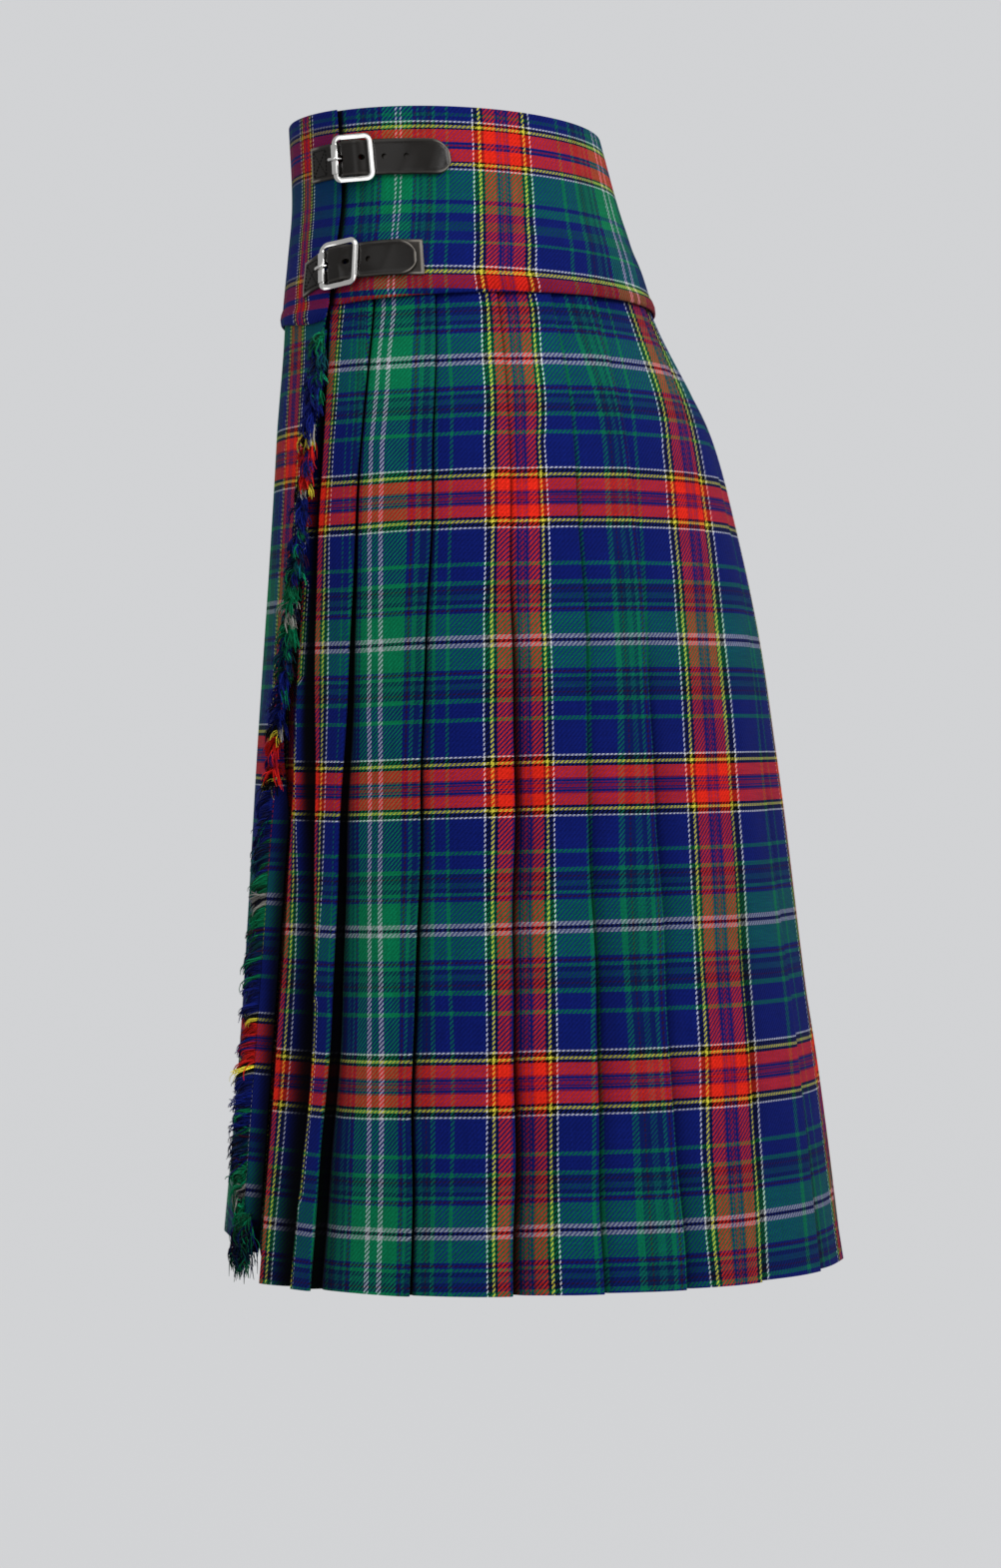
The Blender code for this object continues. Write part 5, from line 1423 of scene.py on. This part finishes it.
def leather_strip(name, lengths, heights, half_widths, edge_distance, thickness, material):
    """A strip with a creased line inside its edge: columns across, rows along, in flat form.
    Its rim carries a paler painted highlight, strongest where the edge distance is small."""
    across = np.sin(np.linspace(-1, 1, 27) * math.pi / 2)
    run = np.gradient(np.stack([lengths, heights], axis=1), axis=0)
    run /= np.linalg.norm(run, axis=1)[:, None]
    up = half_widths[:, None] * across[None, :]
    distance = np.minimum(half_widths[:, None] - np.abs(up), edge_distance[:, None])
    sunk = groove(distance)
    layers = []
    for side, share in ((1, 1.0), (-1, 0.4)):
        shift = side * thickness / 2 - side * sunk * share
        x = lengths[:, None] - run[:, 1][:, None] * shift
        z = heights[:, None] + run[:, 0][:, None] * shift
        layers.append(np.stack([x, up, z], axis=-1).reshape(-1, 3))
    obj = flat_object(name, np.concatenate(layers), slab_faces(*up.shape), material)
    # The painted highlight lies on the ridge inside the rim, strongest near the ends.
    near_tip = 1 - smooth_step(edge_distance, 0.0040, 0.0110)
    ridge = np.exp(-((distance - HIGHLIGHT_RIM) / 0.00045) ** 2)
    painted_highlight = 0.9 * ridge * np.maximum(near_tip, 0.10)[:, None]
    attribute = obj.data.attributes.new("rim_highlight", "FLOAT", "POINT")
    attribute.data.foreach_set("value", np.concatenate([painted_highlight.ravel(), 0 * painted_highlight.ravel()]))
    return obj


def cut(obj, low, high, cylinder=False):
    """Cuts a box, or the upright cylinder that fits in it, out of the object."""
    low, high = np.array(low), np.array(high)
    bm = bmesh.new()
    if cylinder:
        radius = (high[0] - low[0]) / 2
        bmesh.ops.create_cone(bm, cap_ends=True, segments=28, radius1=radius, radius2=radius,
                              depth=high[2] - low[2])
    else:
        bmesh.ops.create_cube(bm, size=1.0)
        bmesh.ops.scale(bm, verts=bm.verts, vec=high - low)
    bmesh.ops.translate(bm, verts=bm.verts, vec=(low + high) / 2)
    mesh = bpy.data.meshes.new("cutter")
    bm.to_mesh(mesh)
    bm.free()
    cutter = bpy.data.objects.new("cutter", mesh)
    bpy.context.scene.collection.objects.link(cutter)
    modifier = obj.modifiers.new("cut", "BOOLEAN")
    modifier.operation = "DIFFERENCE"
    modifier.object = cutter
    depsgraph = bpy.context.evaluated_depsgraph_get()
    result = bpy.data.meshes.new_from_object(obj.evaluated_get(depsgraph))
    obj.modifiers.clear()
    obj.data = result
    bpy.data.objects.remove(cutter)


def finish_leather(obj, node, on_yoke):
    bend(obj, on_yoke)
    obj.data.set_sharp_from_angle(angle=math.radians(40))
    return finish_piece(obj, "black_leather", node)


def make_strap(strap, on_yoke, leather):
    tip_centre = strap.tip_reach - STRAP_HALF_WIDTH
    tip = tip_centre + STRAP_HALF_WIDTH * np.sin(np.radians(np.linspace(6, 88.5, 18)))
    lengths = np.concatenate([np.linspace(-strap.tab_reach, -strap.tab_reach + 0.002, 5)[:-1],
                              np.linspace(-strap.tab_reach + 0.002, -0.0106, 16),
                              np.linspace(HUMP_RISE[0], HUMP_FALL[1], 26),
                              np.linspace(0.0108, tip_centre, 24), tip])
    past = np.clip(lengths - tip_centre, 0, STRAP_HALF_WIDTH)
    half_widths = np.sqrt(np.maximum(STRAP_HALF_WIDTH ** 2 - past ** 2, 0.0007 ** 2))
    to_tip = np.where(past > 0, STRAP_HALF_WIDTH - past, 1.0)
    obj = leather_strip("leather_strap_" + strap.name, lengths, strap_height(lengths), half_widths,
                        np.minimum(lengths + strap.tab_reach, to_tip), STRAP_LEATHER, leather)
    for k in range(strap.holes):
        at = PRONG_HOLE + k * HOLE_PITCH
        radius = HOLE_RADIUS if k else PIERCED_RADIUS
        cut(obj, (at - radius, -radius, 0.0), (at + radius, radius, 0.012), cylinder=True)
    return finish_leather(obj, "strap_" + strap.name, on_yoke)


def make_chape(strap, on_yoke, leather):
    flat, curled = 44, 26     # rows on the yoke, and round the centre bar
    curl_radius = CENTRE_BAR_RADIUS + FIT + CHAPE_LEATHER / 2
    curl = np.radians(np.linspace(270, 40, curled))
    lengths = np.concatenate([np.linspace(strap.chape_reach, 0.0035, flat), curl_radius * np.cos(curl)])
    heights = np.concatenate([np.full(flat, CHAPE_MID), CENTRE_BAR_HEIGHT + curl_radius * np.sin(curl)])
    edge = np.concatenate([strap.chape_reach - lengths[:flat], np.full(curled, 1.0)])
    obj = leather_strip("leather_chape_" + strap.name, lengths[::-1], heights[::-1],
                        np.full(flat + curled, STRAP_HALF_WIDTH), edge[::-1], CHAPE_LEATHER, leather)
    slot = PRONG_RADIUS + 0.0008
    cut(obj, (-0.004, -slot, 0.0), (0.0032, slot, 0.009))
    return finish_leather(obj, "chape_" + strap.name, on_yoke)


def stitches_between(start, end):
    """Stitches along a straight run on a strap, each a pair of flat points."""
    count = max(round(np.linalg.norm(end - start) / STITCH_LENGTH), 1)
    return [(mix(start, end, (k + 0.12) / count), mix(start, end, (k + 0.88) / count))
            for k in range(count)]


def stitch(start, end, sides=6, steps=5):
    """A short raised thread from one flat point to another."""
    run = end - start
    side = np.array([-run[1], run[0], 0.0]) / np.linalg.norm(run[:2])
    rings = []
    for t in np.arange(steps) / (steps - 1):
        swell = math.sin(math.pi * (0.12 + 0.76 * t))
        centre = start + run * t + np.array([0, 0, STITCH_RADIUS * (1.3 * swell - 0.9)])
        rings.append([centre + STITCH_RADIUS * (math.cos(a) * side + np.array([0, 0, math.sin(a)]))
                      for a in circle(sides)])
    return tube(rings, False)


def make_stitching(strap, on_yoke, thread):
    """The box and cross that sew the strap's tab to the overlap."""
    low, high = (-strap.tab_reach + distance for distance in STITCH_BOX)
    half = STRAP_HALF_WIDTH - STITCH_MARGIN
    top = TAB_MID + STRAP_LEATHER / 2
    corners = np.array([(low, -half, top), (high, -half, top), (high, half, top), (low, half, top)])
    pairs = []
    for a, b in ((0, 1), (1, 2), (2, 3), (3, 0), (0, 2), (1, 3)):
        pairs += stitches_between(corners[a], corners[b])
    vertices, faces = joined([stitch(*pair) for pair in pairs])
    obj = bent_object("stitches_" + strap.name, vertices, faces, thread, on_yoke, 40.0)
    return finish_piece(obj, "black_leather")


def rounded_ring(centre, across, half_across, half_height, sides):
    a = 2 * math.pi * (np.arange(sides) + 0.5) / sides
    stretch = 1.0 / np.maximum(np.abs(np.cos(a)), np.abs(np.sin(a))) ** 0.45
    lift = np.stack([0 * a, 0 * a, half_height * np.sin(a) * stretch], axis=1)
    return centre + across[None, :] * (half_across * np.cos(a) * stretch)[:, None] + lift


def rail_height(along):
    return curve(along, [-FRAME_HALF_LENGTH, 0.0, FRAME_HALF_LENGTH],
                 [LEFT_BAR_HEIGHT, RAIL_MID_HEIGHT, RIGHT_BAR_HEIGHT])


def frame_path():
    """The frame's outline from above: corners as arcs, and points along its two rails."""
    path = []
    for index, (sx, sy) in enumerate([(1, 1), (-1, 1), (-1, -1), (1, -1)]):
        cx = sx * (FRAME_HALF_LENGTH - FRAME_CORNER)
        cy = sy * (FRAME_HALF_HEIGHT - FRAME_CORNER)
        for k in range(11):
            a = math.radians(90 * index + 9 * k)
            path.append((cx + FRAME_CORNER * math.cos(a), cy + FRAME_CORNER * math.sin(a)))
        if index in (0, 2):
            for share in np.linspace(0.8, -0.8, 9):
                path.append((sx * share * 0.0075, sy * FRAME_HALF_HEIGHT))
    return path


def make_frame(strap, on_yoke, metal):
    """The buckle: a rounded rectangle of bar with a lower centre bar between its rails."""
    path = frame_path()
    rings = []
    for i, (x, y) in enumerate(path):
        ahead, behind = path[(i + 1) % len(path)], path[i - 1]
        run = np.array([ahead[0] - behind[0], ahead[1] - behind[1], 0.0])
        run /= np.linalg.norm(run)
        across = np.array([run[1], -run[0], 0.0])
        centre = np.array([x, y, float(rail_height(x))])
        rings.append(rounded_ring(centre, across, BAR_HALF_WIDTH, BAR_HALF_HEIGHT, 20))
    a = circle(20)
    bar = [np.stack([CENTRE_BAR_RADIUS * np.cos(a), np.full(20, y),
                     CENTRE_BAR_HEIGHT + CENTRE_BAR_RADIUS * np.sin(a)], axis=1)
           for y in (-FRAME_HALF_HEIGHT, FRAME_HALF_HEIGHT)]
    vertices, faces = joined([tube(rings, True), tube(bar, False)])
    obj = bent_object("metal_frame_" + strap.name, vertices, faces, metal, on_yoke, 50.0)
    return finish_piece(obj, "polished_metal", "buckle_frame_" + strap.name)


def make_roller(strap, on_yoke, metal):
    """A folded sheet sleeve on the buckle's left bar, nearly square in section."""
    lip, half = 0.0004, ROLLER_HALF_LENGTH
    bore = (BAR_HALF_WIDTH + FIT, BAR_HALF_HEIGHT + FIT)
    wide, high = BAR_HALF_WIDTH + FIT + ROLLER_WALL, ROLLER_HALF_HEIGHT
    end = (wide - lip / 2, high - lip / 2)
    profile = [(-half, *bore), (-half, *end), (-half + lip, wide, high),
               (half - lip, wide, high), (half, *end), (half, *bore)]
    across = np.array([1.0, 0.0, 0.0])
    rings = [rounded_ring(np.array([-FRAME_HALF_LENGTH, y, LEFT_BAR_HEIGHT]), across, half_wide,
                          half_high, 28) for y, half_wide, half_high in profile]
    vertices, faces = tube(rings, True)
    obj = bent_object("metal_roller_" + strap.name, vertices, faces, metal, on_yoke, 50.0)
    return finish_piece(obj, "polished_metal", "buckle_roller_" + strap.name)


def make_prong(strap, on_yoke, metal):
    """The tongue: a ring round the centre bar, then a pin up through the strap's hole."""
    ring_radius = CENTRE_BAR_RADIUS + FIT + PRONG_RING_RADIUS
    top = LEFT_BAR_HEIGHT + ROLLER_HALF_HEIGHT + FIT + PRONG_RADIUS
    turns = np.radians(np.linspace(100, -180, 31))
    path = [(ring_radius * math.cos(a), CENTRE_BAR_HEIGHT + ring_radius * math.sin(a)) for a in turns]
    under = CENTRE_BAR_HEIGHT + 0.0018
    pin = [(-0.0022, under - 0.0003), (-0.0040, under), (-0.0060, under),
           (PRONG_HOLE + 0.0006, mix(under, top, 0.24)), (PRONG_HOLE - 0.0003, mix(under, top, 0.62)),
           (-FRAME_HALF_LENGTH + 0.0019, top + 0.0001), (-FRAME_HALF_LENGTH, top + 0.0002),
           (-FRAME_HALF_LENGTH - 0.0019, top), (-FRAME_HALF_LENGTH - PRONG_PAST_BAR, top - 0.0007)]
    fine = np.linspace(0, len(pin) - 1, 33)
    path += list(zip(*(curve(fine, np.arange(len(pin)), values) for values in zip(*pin))))
    points = np.array([[x, 0.0, h] for x, h in path])
    sizes = np.where(np.arange(len(path)) < len(turns), PRONG_RING_RADIUS, PRONG_RADIUS)
    sizes[-5:] *= [1.05, 1.15, 1.12, 0.85, 0.35]       # the prong's rounded end
    side = np.array([0.0, 1.0, 0.0])
    a = circle(14)[:, None]
    rings = []
    for i, point in enumerate(points):
        run = unit(points[min(i + 1, len(points) - 1)] - points[max(i - 1, 0)])
        up = np.cross(run, side)
        rings.append(point + sizes[i] * (np.cos(a) * side + np.sin(a) * up))
    vertices, faces = tube(rings, False)
    obj = bent_object("metal_prong_" + strap.name, vertices, faces, metal, on_yoke, 60.0)
    return finish_piece(obj, "polished_metal", "buckle_prong_" + strap.name)


# ---------------------------------------------------------------- studio
PHOTO_WIDTH, PHOTO_HEIGHT = 1002, 1570
CAMERA_AZIMUTH = 110.0     # degrees round the body, from the front
CAMERA_DISTANCE = 2.2
FOCAL_PIXELS = 3596.0
HORIZON_PIXEL = 740.0
AXIS_PIXEL = 446.5         # where the waist's middle shows, across
WAIST_PIXEL = 138.0
BACKDROP_RADIUS, BACKDROP_CURVE = 5.0, 1.4
FLOOR_DROP = 1.05
AZIMUTH = math.radians(CAMERA_AZIMUTH)
CAMERA_BACK = Vector((math.sin(AZIMUTH), -math.cos(AZIMUTH), 0.0))
CAMERA_RIGHT = Vector((math.cos(AZIMUTH), math.sin(AZIMUTH), 0.0))
UP = Vector((0.0, 0.0, 1.0))


def make_camera():
    metre = CAMERA_DISTANCE / FOCAL_PIXELS
    height = -(HORIZON_PIXEL - WAIST_PIXEL) * metre
    sideways = (AXIS_PIXEL - PHOTO_WIDTH / 2) * metre
    place = CAMERA_BACK * CAMERA_DISTANCE - CAMERA_RIGHT * sideways + UP * height
    data = bpy.data.cameras.new("camera")
    data.sensor_width = 36.0
    data.lens = data.sensor_width * FOCAL_PIXELS / PHOTO_HEIGHT
    data.shift_y = -(PHOTO_HEIGHT / 2 - HORIZON_PIXEL) / PHOTO_HEIGHT
    camera = bpy.data.objects.new("camera", data)
    axes = Matrix((CAMERA_RIGHT, UP, CAMERA_BACK)).transposed().to_4x4()
    camera.matrix_world = Matrix.Translation(place) @ axes
    bpy.context.scene.collection.objects.link(camera)
    bpy.context.scene.camera = camera


def add_light(name, place, size, power):
    data = bpy.data.lights.new(name, "AREA")
    data.shape = "RECTANGLE"
    data.size, data.size_y = size
    data.energy = power
    light = bpy.data.objects.new(name, data)
    light.location = place
    light.rotation_mode = "QUATERNION"
    light.rotation_quaternion = (Vector((0.0, 0.04, -0.35)) - place).to_track_quat("-Z", "Y")
    bpy.context.scene.collection.objects.link(light)


def make_backdrop():
    """A pale round floor that curves up into a backdrop."""
    flat = BACKDROP_RADIUS - BACKDROP_CURVE
    profile = [(0.001, -FLOOR_DROP), (flat, -FLOOR_DROP)]
    for k in range(1, 10):
        a = math.radians(10 * k)
        profile.append((flat + BACKDROP_CURVE * math.sin(a),
                        -FLOOR_DROP + BACKDROP_CURVE * (1 - math.cos(a))))
    profile.append((BACKDROP_RADIUS, 4.0))
    sides = 96
    vertices = [(radius * math.cos(a), radius * math.sin(a), z)
                for radius, z in profile for a in circle(sides)]
    faces = []
    for i in range(len(profile) - 1):
        for k in range(sides):
            m = (k + 1) % sides
            faces.append((i * sides + k, (i + 1) * sides + k, (i + 1) * sides + m, i * sides + m))
    pale = Nodes("pale_studio").finish(
        Base_Color=(0.04, 0.04, 0.04, 1.0), Roughness=1.0, Specular_IOR_Level=0.0,
        Emission_Color=(*linear((207, 208, 210)), 1.0), Emission_Strength=1.0)
    floor = new_object("studio_floor", vertices, faces, pale)
    floor.visible_shadow = False
    floor.visible_diffuse = False
    floor.visible_glossy = False


def make_studio():
    make_camera()
    make_backdrop()
    world = bpy.data.worlds.new("studio")
    bpy.context.scene.world = world
    world.use_nodes = True
    ground = world.node_tree.nodes["Background"]
    ground.inputs["Color"].default_value = (1.0, 1.0, 1.0, 1.0)
    ground.inputs["Strength"].default_value = 0.36
    add_light("key", CAMERA_BACK * 2.2 + CAMERA_RIGHT * 1.8 + UP * 1.4, (1.5, 1.5), 49.0)
    add_light("fill", CAMERA_BACK * 2.2 - CAMERA_RIGHT * 1.6 + UP * 0.3, (2.0, 2.4), 13.0)
    add_light("top", CAMERA_BACK * 0.4 + UP * 2.4, (1.8, 1.8), 14.0)
    bpy.context.scene.view_settings.view_transform = "Standard"


# ---------------------------------------------------------------- the kilt
# The cut of each piece of cloth that shows: the width and length of its cloth, its area, how
# it is held and what it hangs from or lies on. Lengths take in the part tucked into the yoke.
CUTS = {row.piece: row for row in make_rows("piece width length area held rests_on", [
    ("cloth_pleats_left", 0.560, 0.580, 0.283, "hung", ["cloth_yoke_back", "cloth_yoke_under"]),
    ("cloth_pleats_back", 0.650, 0.580, 0.310, "hung", ["cloth_yoke_back"]),
    ("cloth_pleats_right", 0.585, 0.580, 0.262, "hung", ["cloth_yoke_back"]),
    ("cloth_over_apron", 0.370, 0.565, 0.188, "hung", ["cloth_yoke_over", "cloth_under_apron"]),
    ("cloth_under_apron", 0.350, 0.570, 0.166, "hung", ["cloth_yoke_under"]),
    ("cloth_yoke_back", 0.505, 0.135, 0.051, "stretched", ["cloth_yoke_under"]),
    ("cloth_yoke_under", 0.240, 0.125, 0.025, "stretched", ["cloth_yoke_back"]),
    ("cloth_yoke_over", 0.300, 0.135, 0.034, "draped", ["cloth_yoke_under", "cloth_yoke_back"]),
])}


def build():
    tartan = tartan_material("tartan_twill", WEFT_BANDS)
    yoke_tartan = tartan_material("tartan_twill_yoke", YOKE_BANDS)
    # The overlap's yoke takes a copy of the tartan in darker colours: painted shade.
    shaded_overlap_tartan = tartan_material("tartan_twill_overlap_painted_shade", SHADED_OVERLAP_BANDS)
    leather = leather_material("black_strap_leather", (0.0034, 0.0024, 0.0018),
                               (0.0086, 0.0062, 0.0047))
    worn_leather = leather_material("worn_tab_leather", (0.020, 0.017, 0.014), (0.034, 0.029, 0.024))
    thread, metal = thread_material(), metal_material()
    cloths = [make_pleats(length, tartan) for length in PLEAT_LENGTHS]
    cloths += [make_over_apron(tartan), make_under_apron(tartan)]
    cloths += make_yokes(yoke_tartan, shaded_overlap_tartan)
    edging = [make_fringe(fringe_material()), make_fringe_strip(tartan)]
    for strap in STRAPS:
        on_yoke = route_mapping(strap)
        make_strap(strap, on_yoke, leather)
        make_chape(strap, on_yoke, worn_leather)
        make_stitching(strap, on_yoke, thread)
        make_frame(strap, on_yoke, metal)
        make_roller(strap, on_yoke, metal)
        make_prong(strap, on_yoke, metal)


build()
make_studio()
